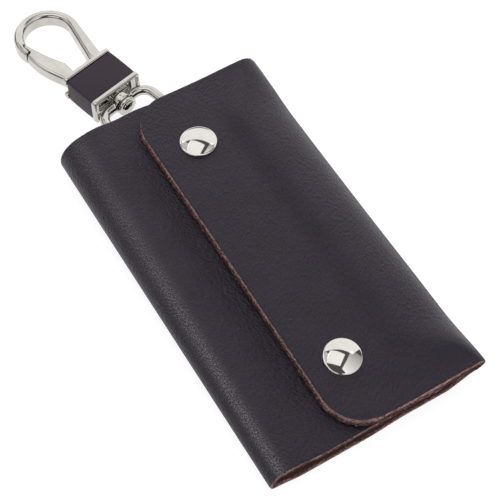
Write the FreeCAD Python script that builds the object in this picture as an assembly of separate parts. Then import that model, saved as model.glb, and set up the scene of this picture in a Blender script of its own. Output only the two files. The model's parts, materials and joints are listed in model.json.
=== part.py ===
"""Leather key case with two snaps, six key hooks and a swivelling belt hook.

The case lies on its back on the XY plane, hook towards +Y, flap fold on +X.
The origin is the middle of the back panel's underside.  Lengths are millimetres.
"""
import FreeCAD
import Part
import math
import os

V = FreeCAD.Vector
X_AXIS = V(1, 0, 0)
Y_AXIS = V(0, 1, 0)
Z_AXIS = V(0, 0, 1)

# Folded leather
CASE_WIDTH = 64.0
CASE_LENGTH = 113.0
LEATHER = 1.7
LOW_PANEL_FOLD = 6.5
HOOK_PANEL_FOLD = 12.4
LOW_FLAP_FOLD = 5.2
HOOK_FLAP_FOLD = 14.0
LOW_FLAP_LIFT = 2.0
LOW_PANEL_REST = 5.5
HOOK_PANEL_REST = 11.3
FLAP_GAP = 0.5
FLAP_EDGE = 10.4
FLAP_CORNER = 11.0
FLAP_REST = 3.0
PANEL_EDGE = 7.0
PANEL_CORNER = 2.5
PANEL_EASE = 3.0
BACK_FLAT = 22.4
FOLD_SLIT = 0.3
FOLD_HINGE_ANGLE = 45.0
BEND_EASE_SHARE = 0.45

# Snap fasteners
UPPER_SNAP_X = 2.2
UPPER_SNAP_INSET = 19.1
LOWER_SNAP_X = 0.7
LOWER_SNAP_INSET = 18.5
CAP_DIAMETER = 10.9
CAP_HEIGHT = 2.1
CAP_RIM = 0.55
CAP_SHOULDER_SHARES = (0.76, 0.5)
SOCKET_DIAMETER = 8.2
SOCKET_BORE = 5.6
SPRING_STRIP = 0.5
SPRING_SPLIT = 1.2
STUD_FLANGE_DIAMETER = 7.0
STUD_FLANGE = 0.3
STUD_HEAD = 3.8
STUD_NECK = 3.2
STUD_HEIGHT = 1.55
STUD_POST = 2.6
STUD_BORE = 1.6
EYELET_DIAMETER = 7.0
EYELET_HEAD = 0.6
SEAT_FIT = 0.05

# Key plate, bar and hooks
PLATE_INSET = 27.0
PLATE_LENGTH = 44.0
PLATE_WIDTH = 10.0
PLATE_METAL = 0.8
PLATE_CORNER = 2.0
PLATE_RIVET_SPACING = 26.0
PLATE_RIVET_OFFSET = 2.3
BAR_OFFSET = 2.4
EAR_WIDTH = 4.4
BAR_DIAMETER = 1.6
BAR_HEAD = 2.6
BAR_HEAD_LENGTH = 0.6
KEY_HOOK_COUNT = 6
KEY_HOOK_METAL = 1.0
KEY_HOOK_STRIP = 1.1
KEY_LOOP_GAP = 0.7
KEY_ROW_GAP = 2.65
KEY_LOOP_REACH = 22.0
KEY_KNUCKLE_WALL = 0.9
KEY_KNUCKLE_LENGTH = 3.0
EYE_FIT = 0.1
HOOK_CLEARANCE = 0.3

# Rivets through the back panel
RIVET_SHANK = 2.2
RIVET_CAP = 6.0
RIVET_CAP_THICKNESS = 0.6
RIVET_HEAD = 4.6
RIVET_HEAD_HEIGHT = 0.7

# Leather tab that carries the swivel eye
ANCHOR_INSET = 14.5
ANCHOR_SHANK = 2.6
ANCHOR_HEAD = 6.4
ANCHOR_HEAD_HEIGHT = 0.9
TAB_LEATHER = 1.1
TAB_WIDTH = 11.2
TAB_TAIL = 5.0
TAB_CORNER = 2.5
TAB_CLEARANCE = 0.1
TAB_MERGE = 3.6

# Swivel eye, placed along the hook axis from the anchor rivet
HOOK_SWING = 14.0
AXIS_HEIGHT = 4.4
EYE_BAR = 2.4
EYE_BAR_REACH = 11.3
EYE_WIRE = 3.0
EYE_HALF_WIDTH = 8.8
EYE_SHOULDER = 4.0
HUB_REACH = 26.2
HUB_LENGTH = 3.0
HUB_DIAMETER = 6.6
HUB_EDGE = 0.6

# Swivel stem
STEM_DIAMETER = 3.0
STEM_FIT = 0.08
STEM_SEAT = 5.8
STEM_GAP = 0.25
STEM_HEAD_DIAMETERS = (6.2, 4.2)
STEM_HEAD_STEPS = (0.9, 1.1)

# Collar with its two flanges
COLLAR_LENGTH = 14.3
FLANGE_WIDTH = 17.4
FLANGE_HEIGHT = 8.6
FLANGE_THICKNESS = 1.6
FLANGE_CORNER = 0.9
SLEEVE_LEATHER = 1.0
SLEEVE_INSET = 0.4
CORE_CORNER = 0.5
COLLAR_RECESS_DEPTH = 2.4
COLLAR_RECESS_RIM = 1.1
COLLAR_RECESS_CORNER = 0.5
FLANGE_RECESS_DEPTH = 1.1
FLANGE_RECESS_RIM = 0.9

# Hook loop, measured from the upper flange
LOOP_CENTRE = 0.6
LOOP_REACH = 17.8
LOOP_OUTER = 10.1
LOOP_INNER = 7.0
LOOP_HEIGHT = 5.0
LOOP_ROUND = 1.3
ARM_FOOT_OUTER = 7.5
ARM_FOOT_INNER = 3.2
ARM_FOOT_RISE = 2.5
NOSE_ANGLE = 191.0
NOSE_STEP_ANGLE = 168.0
NOSE_STEP_SHARE = 0.5

# Gate
GATE_HEIGHT = 4.0
GATE_SIDE_GAP = 0.15
GATE_PIVOT_X = 4.9
GATE_PIVOT_DEPTH = 4.1
GATE_KNUCKLE = 3.4
GATE_FOOT_OUTER = 7.4
GATE_FOOT_INNER = 3.1
GATE_FOOT_RISE = 1.1
GATE_BELLY_OUTER = 8.7
GATE_BELLY_INNER = 2.7
GATE_BELLY_RISE = 5.7
GATE_OUTER_BULGE = 0.5
GATE_INNER_HOLLOW = 0.4
GATE_TIP_GAP = 0.3
GATE_ROUND = 0.9
GATE_SLOT_WALL = 0.9
GATE_SLOT_DEPTH = 6.7
GATE_PIN = 1.4
PIN_FIT = 0.05
GATE_LEAF = 0.3
GATE_LEAF_WIDTH = 2.8
GATE_LEAF_SPREAD = 1.1
GATE_LEAF_LENGTH = 4.6

# Length by which every cutting tool runs past the face that it cuts
OVERRUN = 5.0

FLAP_SIDE = 1
PANEL_SIDE = -1


class Station:
    """Sizes of the leather's cross-section at one share of the case's length from the low end."""

    def __init__(self, share):
        self.y = CASE_LENGTH * (share - 0.5)
        self.panel_fold = LOW_PANEL_FOLD + share * (HOOK_PANEL_FOLD - LOW_PANEL_FOLD)
        self.panel_rest = LOW_PANEL_REST + share * (HOOK_PANEL_REST - LOW_PANEL_REST)
        self.flap_fold = LOW_FLAP_FOLD + share * (HOOK_FLAP_FOLD - LOW_FLAP_FOLD)
        self.flap_lift = LOW_FLAP_LIFT * (1 - share)
        self.flap_top = self.panel_rest + FLAP_GAP + LEATHER

    def fold_radius(self, side):
        """Outer radius of the fold on one side."""
        if side == FLAP_SIDE:
            return self.flap_fold / 2
        return self.panel_fold / 2

    def fold_lift(self, side):
        """Height of the fold's underside on one side: the flap's springs up at the low end."""
        if side == FLAP_SIDE:
            return self.flap_lift
        return 0

    def slit_angle(self, side):
        """Half of the slit beside a hinge line, as an angle of the fold in degrees."""
        return math.degrees(FOLD_SLIT / 2 / self.fold_radius(side))

    def fold_point(self, side, depth, angle):
        """Point of a fold at a depth below its outer face, its angle counted up from the table."""
        radius = self.fold_radius(side)
        turn = math.radians(angle)
        across = CASE_WIDTH / 2 - radius + (radius - depth) * math.sin(turn)
        height = self.fold_lift(side) + radius - (radius - depth) * math.cos(turn)
        return V(side * across, self.y, height)

    def fold_arc(self, side, depth, first, last):
        """Arc of a fold between two angles."""
        middle = self.fold_point(side, depth, (first + last) / 2)
        return Part.Arc(self.fold_point(side, depth, first), middle,
                        self.fold_point(side, depth, last)).toShape()


LOW_END = Station(0)
HOOK_END = Station(1)
PANEL_SLOPE = math.degrees(math.atan((HOOK_PANEL_REST - LOW_PANEL_REST) / CASE_LENGTH))
SNAPS = {
    "upper": (UPPER_SNAP_X, 1 - UPPER_SNAP_INSET / CASE_LENGTH),
    "lower": (LOWER_SNAP_X, LOWER_SNAP_INSET / CASE_LENGTH),
}
SPRING_RADIUS = SOCKET_BORE / 2
BACK_INSIDE = LEATHER
PLATE_Y = CASE_LENGTH / 2 - PLATE_INSET
PLATE_TOP = BACK_INSIDE + PLATE_METAL
BAR_Y = PLATE_Y - BAR_OFFSET
KEY_ROW_LENGTH = PLATE_LENGTH - 2 * (PLATE_METAL + KEY_ROW_GAP)
KEY_HOOK_PITCH = (KEY_ROW_LENGTH + KEY_LOOP_GAP) / KEY_HOOK_COUNT
KEY_LOOP_WIDTH = KEY_HOOK_PITCH - KEY_LOOP_GAP
KEY_KNUCKLE = BAR_DIAMETER + 2 * (EYE_FIT + KEY_KNUCKLE_WALL)
BAR_Z = PLATE_TOP + HOOK_CLEARANCE + KEY_KNUCKLE / 2
KEY_LOOP_DROP = BAR_Z - BACK_INSIDE - HOOK_CLEARANCE - KEY_HOOK_METAL / 2
KEY_HOOK_TILT = math.degrees(math.asin(KEY_LOOP_DROP / KEY_LOOP_REACH))
ANCHOR_Y = CASE_LENGTH / 2 - ANCHOR_INSET
TAB_BOTTOM = BACK_INSIDE + TAB_CLEARANCE
COLLAR_FOOT = HUB_REACH + HUB_LENGTH / 2 + STEM_GAP
COLLAR_HEAD = COLLAR_FOOT + COLLAR_LENGTH
CORE_WIDTH = FLANGE_WIDTH - 2 * (SLEEVE_INSET + SLEEVE_LEATHER)
CORE_HEIGHT = FLANGE_HEIGHT - 2 * (SLEEVE_INSET + SLEEVE_LEATHER)
LOOP_MIDDLE = V(LOOP_CENTRE, COLLAR_HEAD + LOOP_REACH, 0)
GATE_PIVOT = V(-GATE_PIVOT_X, COLLAR_HEAD - GATE_PIVOT_DEPTH, 0)
SLOT_INSIDE = -GATE_SLOT_WALL


def line(start, end):
    """Straight edge."""
    return Part.LineSegment(start, end).toShape()


def arc(start, middle, end):
    """Edge of the circle through three points."""
    return Part.Arc(start, middle, end).toShape()


def polar(centre, radius, angle):
    """Point at an angle on a circle parallel to the XY plane."""
    turn = math.radians(angle)
    return centre + V(radius * math.cos(turn), radius * math.sin(turn), 0)


def tangent_angle(centre, radius, point, side):
    """Angle on a circle of the tangent from a point, on the side given by the sign."""
    away = point - centre
    bearing = math.degrees(math.atan2(away.y, away.x))
    return bearing + side * math.degrees(math.acos(radius / away.Length))


def face(edges):
    """Flat face inside a closed run of edges."""
    return Part.Face(Part.Wire(edges))


def prism(edges, height):
    """Plate of a given height whose middle plane holds the outline."""
    plate = face(edges).extrude(V(0, 0, height))
    plate.translate(V(0, 0, -height / 2))
    return plate


def turned(points):
    """Solid of revolution about Z of a polygon of (radius, height) points."""
    corners = [V(radius, 0, height) for radius, height in points]
    outline = Part.makePolygon(corners + corners[:1])
    return Part.Face(outline).revolve(V(0, 0, 0), Z_AXIS, 360)


def rod(diameter, start, end):
    """Round bar between two points."""
    along = end - start
    return Part.makeCylinder(diameter / 2, along.Length, start, along)


def rounded_rectangle(width, height, corner):
    """Edges of a rectangle with round corners, centred on the origin of the XY plane."""
    edges = []
    last = None
    for sx, sy, angle in ((1, 1, 0), (-1, 1, 90), (-1, -1, 180), (1, -1, 270)):
        centre = V(sx * (width / 2 - corner), sy * (height / 2 - corner), 0)
        start = polar(centre, corner, angle)
        end = polar(centre, corner, angle + 90)
        if last is not None:
            edges.append(line(last, start))
        edges.append(arc(start, polar(centre, corner, angle + 45), end))
        last = end
    edges.append(line(last, edges[0].Vertexes[0].Point))
    return edges


def side_face(low, high):
    """Face between matching edges of two sections: a plane where one holds both, else a ruled surface."""
    rails = [line(low.Vertexes[end].Point, high.Vertexes[end].Point) for end in (0, -1)]
    border = Part.Wire(Part.__sortEdges__([low, high] + rails))
    if border.findPlane():
        return Part.Face(border)
    return Part.makeRuledSurface(low, high)


def swept_along_case(section):
    """Solid between a section at the low end and the same section at the hook end."""
    low = section(LOW_END)
    high = section(HOOK_END)
    sides = [side_face(*pair) for pair in zip(low, high)]
    shell = Part.makeShell([face(low), face(high)] + sides)
    shell.sewShape()
    return Part.makeSolid(shell)


def corner_cutter(edge, radius, end):
    """Tool that rounds a panel's corner between its edge line and one end of the case.

    The radius is signed: the panel lies on that side of its edge line.
    """
    end_y = end * CASE_LENGTH / 2
    outward = math.copysign(OVERRUN, radius)
    bend = abs(radius)
    start = V(edge, end_y - end * bend, 0)
    finish = V(edge + radius, end_y, 0)
    middle = V(edge + radius * (1 - math.sqrt(0.5)), end_y - end * bend * (1 - math.sqrt(0.5)), 0)
    beyond = end_y + end * OVERRUN
    outline = [
        arc(start, middle, finish),
        line(finish, V(edge + radius, beyond, 0)),
        line(V(edge + radius, beyond, 0), V(edge - outward, beyond, 0)),
        line(V(edge - outward, beyond, 0), V(edge - outward, start.y, 0)),
        line(V(edge - outward, start.y, 0), start),
    ]
    return face(outline).extrude(V(0, 0, HOOK_END.flap_top + OVERRUN))


def on_panel(shape, snap):
    """Move a shape from the origin to a snap's place, square to the front panel's upper face."""
    x, share = SNAPS[snap]
    station = Station(share)
    turn = FreeCAD.Rotation(X_AXIS, PANEL_SLOPE)
    shape.Placement = FreeCAD.Placement(V(x, station.y, station.panel_rest), turn)
    return shape


def along_hook(shape):
    """Move a shape from the hook's own axes to its place on the anchor rivet."""
    turn = FreeCAD.Rotation(Z_AXIS, HOOK_SWING)
    shape.Placement = FreeCAD.Placement(V(0, ANCHOR_Y, AXIS_HEIGHT), turn).multiply(shape.Placement)
    return shape


def snap_hole(snap, diameter):
    """Round cutter on a snap's axis."""
    length = HOOK_END.flap_top + OVERRUN
    return on_panel(Part.makeCylinder(diameter / 2, length, V(0, 0, -length / 2)), snap)


def bezier(poles):
    """Edge along a Bezier curve."""
    curve = Part.BezierCurve()
    curve.setPoles(poles)
    return curve.toShape()


def bend(start, end):
    """Poles of the S-curve by which a panel eases from one level to another."""
    ease = V((end.x - start.x) * BEND_EASE_SHARE, 0, 0)
    return [start, start + ease, end - ease, end]


def back_rise(station, depth):
    """Poles of the curve by which the back panel rises to the flap's fold."""
    flat = V(BACK_FLAT, station.y, depth)
    return bend(flat, station.fold_point(FLAP_SIDE, depth, 0))


def flap_rise(station, depth):
    """Poles of the curve by which the flap eases from its fold to its level over the front panel."""
    flat = V(PANEL_EDGE + FLAP_REST, station.y, station.flap_top - depth)
    return bend(station.fold_point(FLAP_SIDE, depth, 180), flat)


def panel_dip(station, depth):
    """Poles of the curve by which the front panel eases from its fold to its level under the flap."""
    flat = V(-FLAP_EDGE - PANEL_EASE, station.y, station.panel_rest - depth)
    return bend(station.fold_point(PANEL_SIDE, depth, 180), flat)


def back_section(station):
    """Back panel with the lower part of both folds."""
    right = FOLD_HINGE_ANGLE - station.slit_angle(FLAP_SIDE)
    left = FOLD_HINGE_ANGLE - station.slit_angle(PANEL_SIDE)
    point = station.fold_point
    under = back_rise(station, 0)
    inside = back_rise(station, LEATHER)
    return [
        line(point(PANEL_SIDE, 0, 0), under[0]),
        bezier(under),
        station.fold_arc(FLAP_SIDE, 0, 0, right),
        line(point(FLAP_SIDE, 0, right), point(FLAP_SIDE, LEATHER, right)),
        station.fold_arc(FLAP_SIDE, LEATHER, right, 0),
        bezier(inside[::-1]),
        line(inside[0], point(PANEL_SIDE, LEATHER, 0)),
        station.fold_arc(PANEL_SIDE, LEATHER, 0, left),
        line(point(PANEL_SIDE, LEATHER, left), point(PANEL_SIDE, 0, left)),
        station.fold_arc(PANEL_SIDE, 0, left, 0),
    ]


def fold_section(side):
    """Section of the strip between the two hinge lines of one fold."""
    def section(station):
        first = FOLD_HINGE_ANGLE + station.slit_angle(side)
        last = 180 - first
        point = station.fold_point
        return [
            station.fold_arc(side, 0, first, last),
            line(point(side, 0, last), point(side, LEATHER, last)),
            station.fold_arc(side, LEATHER, last, first),
            line(point(side, LEATHER, first), point(side, 0, first)),
        ]
    return section


def flap_section(station):
    """Flap: it eases from its fold to the front panel's level, then lies flat over it."""
    first = 180 - FOLD_HINGE_ANGLE + station.slit_angle(FLAP_SIDE)
    upper = flap_rise(station, 0)
    lower = flap_rise(station, LEATHER)
    edge_top = V(-FLAP_EDGE, station.y, station.flap_top)
    edge_under = V(-FLAP_EDGE, station.y, station.flap_top - LEATHER)
    point = station.fold_point
    return [
        station.fold_arc(FLAP_SIDE, 0, first, 180),
        bezier(upper),
        line(upper[-1], edge_top),
        line(edge_top, edge_under),
        line(edge_under, lower[-1]),
        bezier(lower[::-1]),
        station.fold_arc(FLAP_SIDE, LEATHER, 180, first),
        line(point(FLAP_SIDE, LEATHER, first), point(FLAP_SIDE, 0, first)),
    ]


def panel_section(station):
    """Front panel: it dips from its fold to its level under the flap, then lies flat to its edge."""
    first = 180 - FOLD_HINGE_ANGLE + station.slit_angle(PANEL_SIDE)
    upper = panel_dip(station, 0)
    lower = panel_dip(station, LEATHER)
    top = V(PANEL_EDGE, station.y, station.panel_rest)
    under = V(PANEL_EDGE, station.y, station.panel_rest - LEATHER)
    point = station.fold_point
    return [
        station.fold_arc(PANEL_SIDE, 0, first, 180),
        bezier(upper),
        line(upper[-1], top),
        line(top, under),
        line(under, lower[-1]),
        bezier(lower[::-1]),
        station.fold_arc(PANEL_SIDE, LEATHER, 180, first),
        line(point(PANEL_SIDE, LEATHER, first), point(PANEL_SIDE, 0, first)),
    ]


def rivet_places():
    """Centres of the key plate's rivets."""
    return [V(side * PLATE_RIVET_SPACING / 2, PLATE_Y + PLATE_RIVET_OFFSET, 0) for side in (-1, 1)]


def rivet_hole(place, shank, cap):
    """Cutter for a rivet's shank, with the recess that its cap sits in."""
    hole = Part.makeCylinder(shank / 2 + SEAT_FIT, LEATHER + OVERRUN, place - V(0, 0, OVERRUN / 2))
    recess_start = place - V(0, 0, OVERRUN)
    recess = Part.makeCylinder(cap / 2 + SEAT_FIT, OVERRUN + RIVET_CAP_THICKNESS, recess_start)
    return hole.fuse(recess)


def rivet(shank, cap, head, head_height, grip):
    """Rivet with a flat cap under the back panel and a low domed head on what it grips."""
    top = grip + head_height
    return turned([
        (0, 0), (cap / 2, 0), (cap / 2, RIVET_CAP_THICKNESS), (shank / 2, RIVET_CAP_THICKNESS),
        (shank / 2, grip), (head / 2, grip), (head / 2, grip + head_height / 2), (head / 4, top), (0, top),
    ])


def build_leather():
    """The five pieces of the folded leather."""
    back = swept_along_case(back_section)
    for place in rivet_places():
        back = back.cut(rivet_hole(place, RIVET_SHANK, RIVET_CAP))
    back = back.cut(rivet_hole(V(0, ANCHOR_Y, 0), ANCHOR_SHANK, RIVET_CAP))
    flap = swept_along_case(flap_section)
    panel = swept_along_case(panel_section)
    for end in (-1, 1):
        flap = flap.cut(corner_cutter(-FLAP_EDGE, FLAP_CORNER, end))
        panel = panel.cut(corner_cutter(PANEL_EDGE, -PANEL_CORNER, end))
    for snap in SNAPS:
        flap = flap.cut(snap_hole(snap, SOCKET_DIAMETER + 2 * SEAT_FIT))
        panel = panel.cut(snap_hole(snap, STUD_POST + 2 * SEAT_FIT))
    return {
        "back_panel": back,
        "flap_fold": swept_along_case(fold_section(FLAP_SIDE)),
        "flap": flap,
        "panel_fold": swept_along_case(fold_section(PANEL_SIDE)),
        "front_panel": panel,
    }


def snap_cap():
    """Domed cap that shows on the flap."""
    base = FLAP_GAP + LEATHER
    radius = CAP_DIAMETER / 2
    shoulder_x, shoulder_z = CAP_SHOULDER_SHARES
    rim = V(radius, 0, base + CAP_RIM)
    crown = V(0, 0, base + CAP_HEIGHT)
    shoulder = V(radius * shoulder_x, 0, base + CAP_RIM + (CAP_HEIGHT - CAP_RIM) * shoulder_z)
    outline = [
        line(V(0, 0, base), V(radius, 0, base)),
        line(V(radius, 0, base), rim),
        arc(rim, (rim + shoulder) * 0.5 + V(CAP_RIM / 4, 0, CAP_RIM / 4), shoulder),
        line(shoulder, crown),
        line(crown, V(0, 0, base)),
    ]
    return face(outline).revolve(V(0, 0, 0), Z_AXIS, 360)


def snap_socket():
    """Ring set in the flap, with a groove round its bore for the spring."""
    bore = SOCKET_BORE / 2
    groove = SPRING_RADIUS + SPRING_STRIP / 2 + SEAT_FIT
    low = FLAP_GAP
    top = FLAP_GAP + LEATHER
    middle = (low + top) / 2
    half = SPRING_STRIP / 2 + SEAT_FIT
    return turned([
        (bore, low), (SOCKET_DIAMETER / 2, low), (SOCKET_DIAMETER / 2, top), (bore, top),
        (bore, middle + half), (groove, middle + half), (groove, middle - half), (bore, middle - half),
    ])


def snap_spring():
    """Split ring of spring strip in the socket's groove."""
    middle = FLAP_GAP + LEATHER / 2
    half = SPRING_STRIP / 2
    ring = turned([
        (SPRING_RADIUS - half, middle - half), (SPRING_RADIUS + half, middle - half),
        (SPRING_RADIUS + half, middle + half), (SPRING_RADIUS - half, middle + half),
    ])
    reach = SPRING_RADIUS + OVERRUN
    split = Part.makeBox(reach, SPRING_SPLIT, OVERRUN, V(0, -SPRING_SPLIT / 2, middle - OVERRUN / 2))
    return ring.cut(split)


def snap_stud():
    """Mushroom stud on the front panel, its post set through the leather."""
    head = STUD_HEAD / 2
    neck = STUD_NECK / 2
    post = STUD_POST / 2
    bore = STUD_BORE / 2
    waist = STUD_FLANGE + (STUD_HEIGHT - STUD_FLANGE) / 3
    brow = STUD_HEIGHT - (STUD_HEIGHT - STUD_FLANGE) / 4
    return turned([
        (0, STUD_FLANGE), (bore, STUD_FLANGE), (bore, -LEATHER), (post, -LEATHER), (post, 0),
        (STUD_FLANGE_DIAMETER / 2, 0), (STUD_FLANGE_DIAMETER / 2, STUD_FLANGE), (neck, STUD_FLANGE),
        (neck, waist), (head, (waist + brow) / 2), (head, brow), (neck, STUD_HEIGHT), (0, STUD_HEIGHT),
    ])


def snap_eyelet():
    """Eyelet inside the case whose barrel closes the stud's post."""
    barrel = STUD_BORE / 2 - SEAT_FIT
    radius = EYELET_DIAMETER / 2
    low = -LEATHER - EYELET_HEAD
    return turned([
        (0, low), (radius - EYELET_HEAD / 2, low), (radius, low + EYELET_HEAD / 2), (radius, -LEATHER),
        (barrel, -LEATHER), (barrel, 0), (0, 0),
    ])


def build_snaps():
    """Both snap fasteners, one near each end of the case."""
    makers = {"cap": snap_cap, "socket": snap_socket, "spring": snap_spring, "stud": snap_stud,
              "eyelet": snap_eyelet}
    nodes = {}
    for snap in SNAPS:
        for piece, make in makers.items():
            nodes[f"{snap}_snap_{piece}"] = on_panel(make(), snap)
    return nodes


def key_plate():
    """Stamped plate on the back panel with an ear at each end for the bar."""
    plate = prism(rounded_rectangle(PLATE_LENGTH, PLATE_WIDTH, PLATE_CORNER), PLATE_METAL)
    plate.translate(V(0, PLATE_Y, BACK_INSIDE + PLATE_METAL / 2))
    for side in (-1, 1):
        inner = side * (PLATE_LENGTH / 2 - PLATE_METAL / 2)
        top = V(inner, BAR_Y, BAR_Z)
        round_top = rod(EAR_WIDTH, top - V(PLATE_METAL / 2, 0, 0), top + V(PLATE_METAL / 2, 0, 0))
        stem = Part.makeBox(PLATE_METAL, EAR_WIDTH, BAR_Z - BACK_INSIDE,
                            V(inner - PLATE_METAL / 2, BAR_Y - EAR_WIDTH / 2, BACK_INSIDE))
        plate = plate.fuse([round_top, stem])
    reach = PLATE_LENGTH / 2 + OVERRUN
    plate = plate.cut(rod(BAR_DIAMETER + 2 * SEAT_FIT, V(-reach, BAR_Y, BAR_Z), V(reach, BAR_Y, BAR_Z)))
    for place in rivet_places():
        plate = plate.cut(Part.makeCylinder(RIVET_SHANK / 2 + SEAT_FIT, PLATE_TOP + OVERRUN, place))
    return plate.removeSplitter()


def key_bar():
    """Bar through both ears, with a head beyond each."""
    reach = PLATE_LENGTH / 2 + SEAT_FIT
    bar = rod(BAR_DIAMETER, V(-reach, BAR_Y, BAR_Z), V(reach, BAR_Y, BAR_Z))
    for side in (-1, 1):
        end = V(side * reach, BAR_Y, BAR_Z)
        bar = bar.fuse(rod(BAR_HEAD, end, end + V(side * BAR_HEAD_LENGTH, 0, 0)))
    return bar


def racetrack(half_width, near, far):
    """Edges of a long loop with round ends, between two places on the Y axis."""
    start = V(0, near - half_width, 0)
    end = V(0, far + half_width, 0)
    return [
        arc(polar(start, half_width, 0), polar(start, half_width, 90), polar(start, half_width, 180)),
        line(polar(start, half_width, 180), polar(end, half_width, 180)),
        arc(polar(end, half_width, 180), polar(end, half_width, 270), polar(end, half_width, 360)),
        line(polar(end, half_width, 0), polar(start, half_width, 0)),
    ]


def key_hook(x):
    """Stamped hook: a knuckle curled round the bar and a long flat loop, resting towards the low end."""
    half = KEY_LOOP_WIDTH / 2
    near = KEY_HOOK_STRIP - KEY_KNUCKLE / 2
    far = -KEY_LOOP_REACH
    loop = prism(racetrack(half, near, far), KEY_HOOK_METAL)
    inside = racetrack(half - KEY_HOOK_STRIP, near - KEY_HOOK_STRIP, far + KEY_HOOK_STRIP)
    loop = loop.cut(prism(inside, KEY_HOOK_METAL + OVERRUN))
    reach = V(KEY_KNUCKLE_LENGTH / 2, 0, 0)
    past = reach + V(OVERRUN, 0, 0)
    hook = loop.fuse(rod(KEY_KNUCKLE, -reach, reach)).cut(rod(BAR_DIAMETER + 2 * EYE_FIT, -past, past))
    hook.Placement = FreeCAD.Placement(V(x, BAR_Y, BAR_Z), FreeCAD.Rotation(X_AXIS, KEY_HOOK_TILT))
    return hook


def build_key_hardware():
    """Key plate, its rivets, the bar and the row of hooks."""
    grip = PLATE_TOP
    rivets = []
    for place in rivet_places():
        piece = rivet(RIVET_SHANK, RIVET_CAP, RIVET_HEAD, RIVET_HEAD_HEIGHT, grip)
        piece.translate(place)
        rivets.append(piece)
    nodes = {"key_plate": key_plate(), "plate_rivets": Part.makeCompound(rivets), "key_bar": key_bar()}
    for index in range(KEY_HOOK_COUNT):
        x = (index - (KEY_HOOK_COUNT - 1) / 2) * KEY_HOOK_PITCH
        nodes[f"key_hook_{index + 1}"] = key_hook(x)
    return nodes


def anchor_tab():
    """Leather strap folded round the eye's bar, both layers held by the anchor rivet.

    Its outline is drawn with X along the hook axis and Y up, then stood on edge.
    """
    low = TAB_BOTTOM - AXIS_HEIGHT
    top = low + 2 * TAB_LEATHER
    bar = V(EYE_BAR_REACH, 0, 0)
    inner = EYE_BAR / 2 + EYE_FIT
    outer = inner + TAB_LEATHER
    crook = V(TAB_MERGE, top, 0)
    upper = tangent_angle(bar, outer, crook, -1) % 360
    outline = [
        line(V(-TAB_TAIL, low, 0), polar(bar, outer, -90)),
        arc(polar(bar, outer, -90), polar(bar, outer, 0), polar(bar, outer, upper)),
        line(polar(bar, outer, upper), crook),
        line(crook, V(-TAB_TAIL, top, 0)),
        line(V(-TAB_TAIL, top, 0), V(-TAB_TAIL, low, 0)),
    ]
    pinch = V(TAB_MERGE + TAB_LEATHER, (low + top) / 2, 0)
    over = tangent_angle(bar, inner, pinch, -1) % 360
    under = tangent_angle(bar, inner, pinch, 1) % 360
    hollow = [
        line(pinch, polar(bar, inner, under)),
        arc(polar(bar, inner, under), polar(bar, inner, 0), polar(bar, inner, over)),
        line(polar(bar, inner, over), pinch),
    ]
    strap = prism(outline, TAB_WIDTH).cut(prism(hollow, TAB_WIDTH + OVERRUN))
    strap.rotate(V(0, 0, 0), X_AXIS, 90)
    strap.rotate(V(0, 0, 0), Z_AXIS, 90)
    plan = prism(rounded_rectangle(TAB_WIDTH, 2 * TAB_TAIL, TAB_CORNER), 2 * AXIS_HEIGHT)
    reach = EYE_BAR_REACH + 2 * outer
    front = Part.makeBox(TAB_WIDTH, reach, 2 * AXIS_HEIGHT, V(-TAB_WIDTH / 2, 0, -AXIS_HEIGHT))
    strap = strap.common(plan.fuse(front))
    hole = Part.makeCylinder(ANCHOR_SHANK / 2 + SEAT_FIT, 2 * AXIS_HEIGHT, V(0, 0, -AXIS_HEIGHT))
    return along_hook(strap.cut(hole))


def anchor_rivet():
    """Rivet that the tab swings on."""
    grip = TAB_BOTTOM + 2 * TAB_LEATHER + TAB_CLEARANCE
    piece = rivet(ANCHOR_SHANK, RIVET_CAP, ANCHOR_HEAD, ANCHOR_HEAD_HEIGHT, grip)
    piece.translate(V(0, ANCHOR_Y, 0))
    return piece


def swivel_eye():
    """Cast eye: round shoulders from the bar up to the hub that the stem turns in."""
    half = EYE_HALF_WIDTH
    shoulder = HUB_REACH - EYE_SHOULDER
    right = V(half - EYE_SHOULDER, shoulder, 0)
    left = V(EYE_SHOULDER - half, shoulder, 0)
    foot = V(half, EYE_BAR_REACH, 0)
    route = [
        line(foot, polar(right, EYE_SHOULDER, 0)),
        arc(polar(right, EYE_SHOULDER, 0), polar(right, EYE_SHOULDER, 45), polar(right, EYE_SHOULDER, 90)),
        line(polar(right, EYE_SHOULDER, 90), polar(left, EYE_SHOULDER, 90)),
        arc(polar(left, EYE_SHOULDER, 90), polar(left, EYE_SHOULDER, 135), polar(left, EYE_SHOULDER, 180)),
        line(polar(left, EYE_SHOULDER, 180), V(-half, EYE_BAR_REACH, 0)),
    ]
    profile = Part.Wire(Part.Circle(foot, Y_AXIS, EYE_WIRE / 2).toShape())
    arms = Part.Wire(route).makePipeShell([profile], True, False)
    bar = rod(EYE_BAR, V(-half, EYE_BAR_REACH, 0), V(half, EYE_BAR_REACH, 0))
    knuckles = [Part.makeSphere(EYE_WIRE / 2, V(side * half, EYE_BAR_REACH, 0)) for side in (-1, 1)]
    low = HUB_REACH - HUB_LENGTH / 2
    high = HUB_REACH + HUB_LENGTH / 2
    radius = HUB_DIAMETER / 2
    hub = turned([(0, low), (radius - HUB_EDGE, low), (radius, low + HUB_EDGE), (radius, high - HUB_EDGE),
                  (radius - HUB_EDGE, high), (0, high)])
    hub.rotate(V(0, 0, 0), X_AXIS, -90)
    eye = arms.fuse([bar, hub] + knuckles)
    bore = rod(STEM_DIAMETER + 2 * STEM_FIT, V(0, low - OVERRUN, 0), V(0, high + OVERRUN, 0))
    return along_hook(eye.cut(bore))


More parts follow.
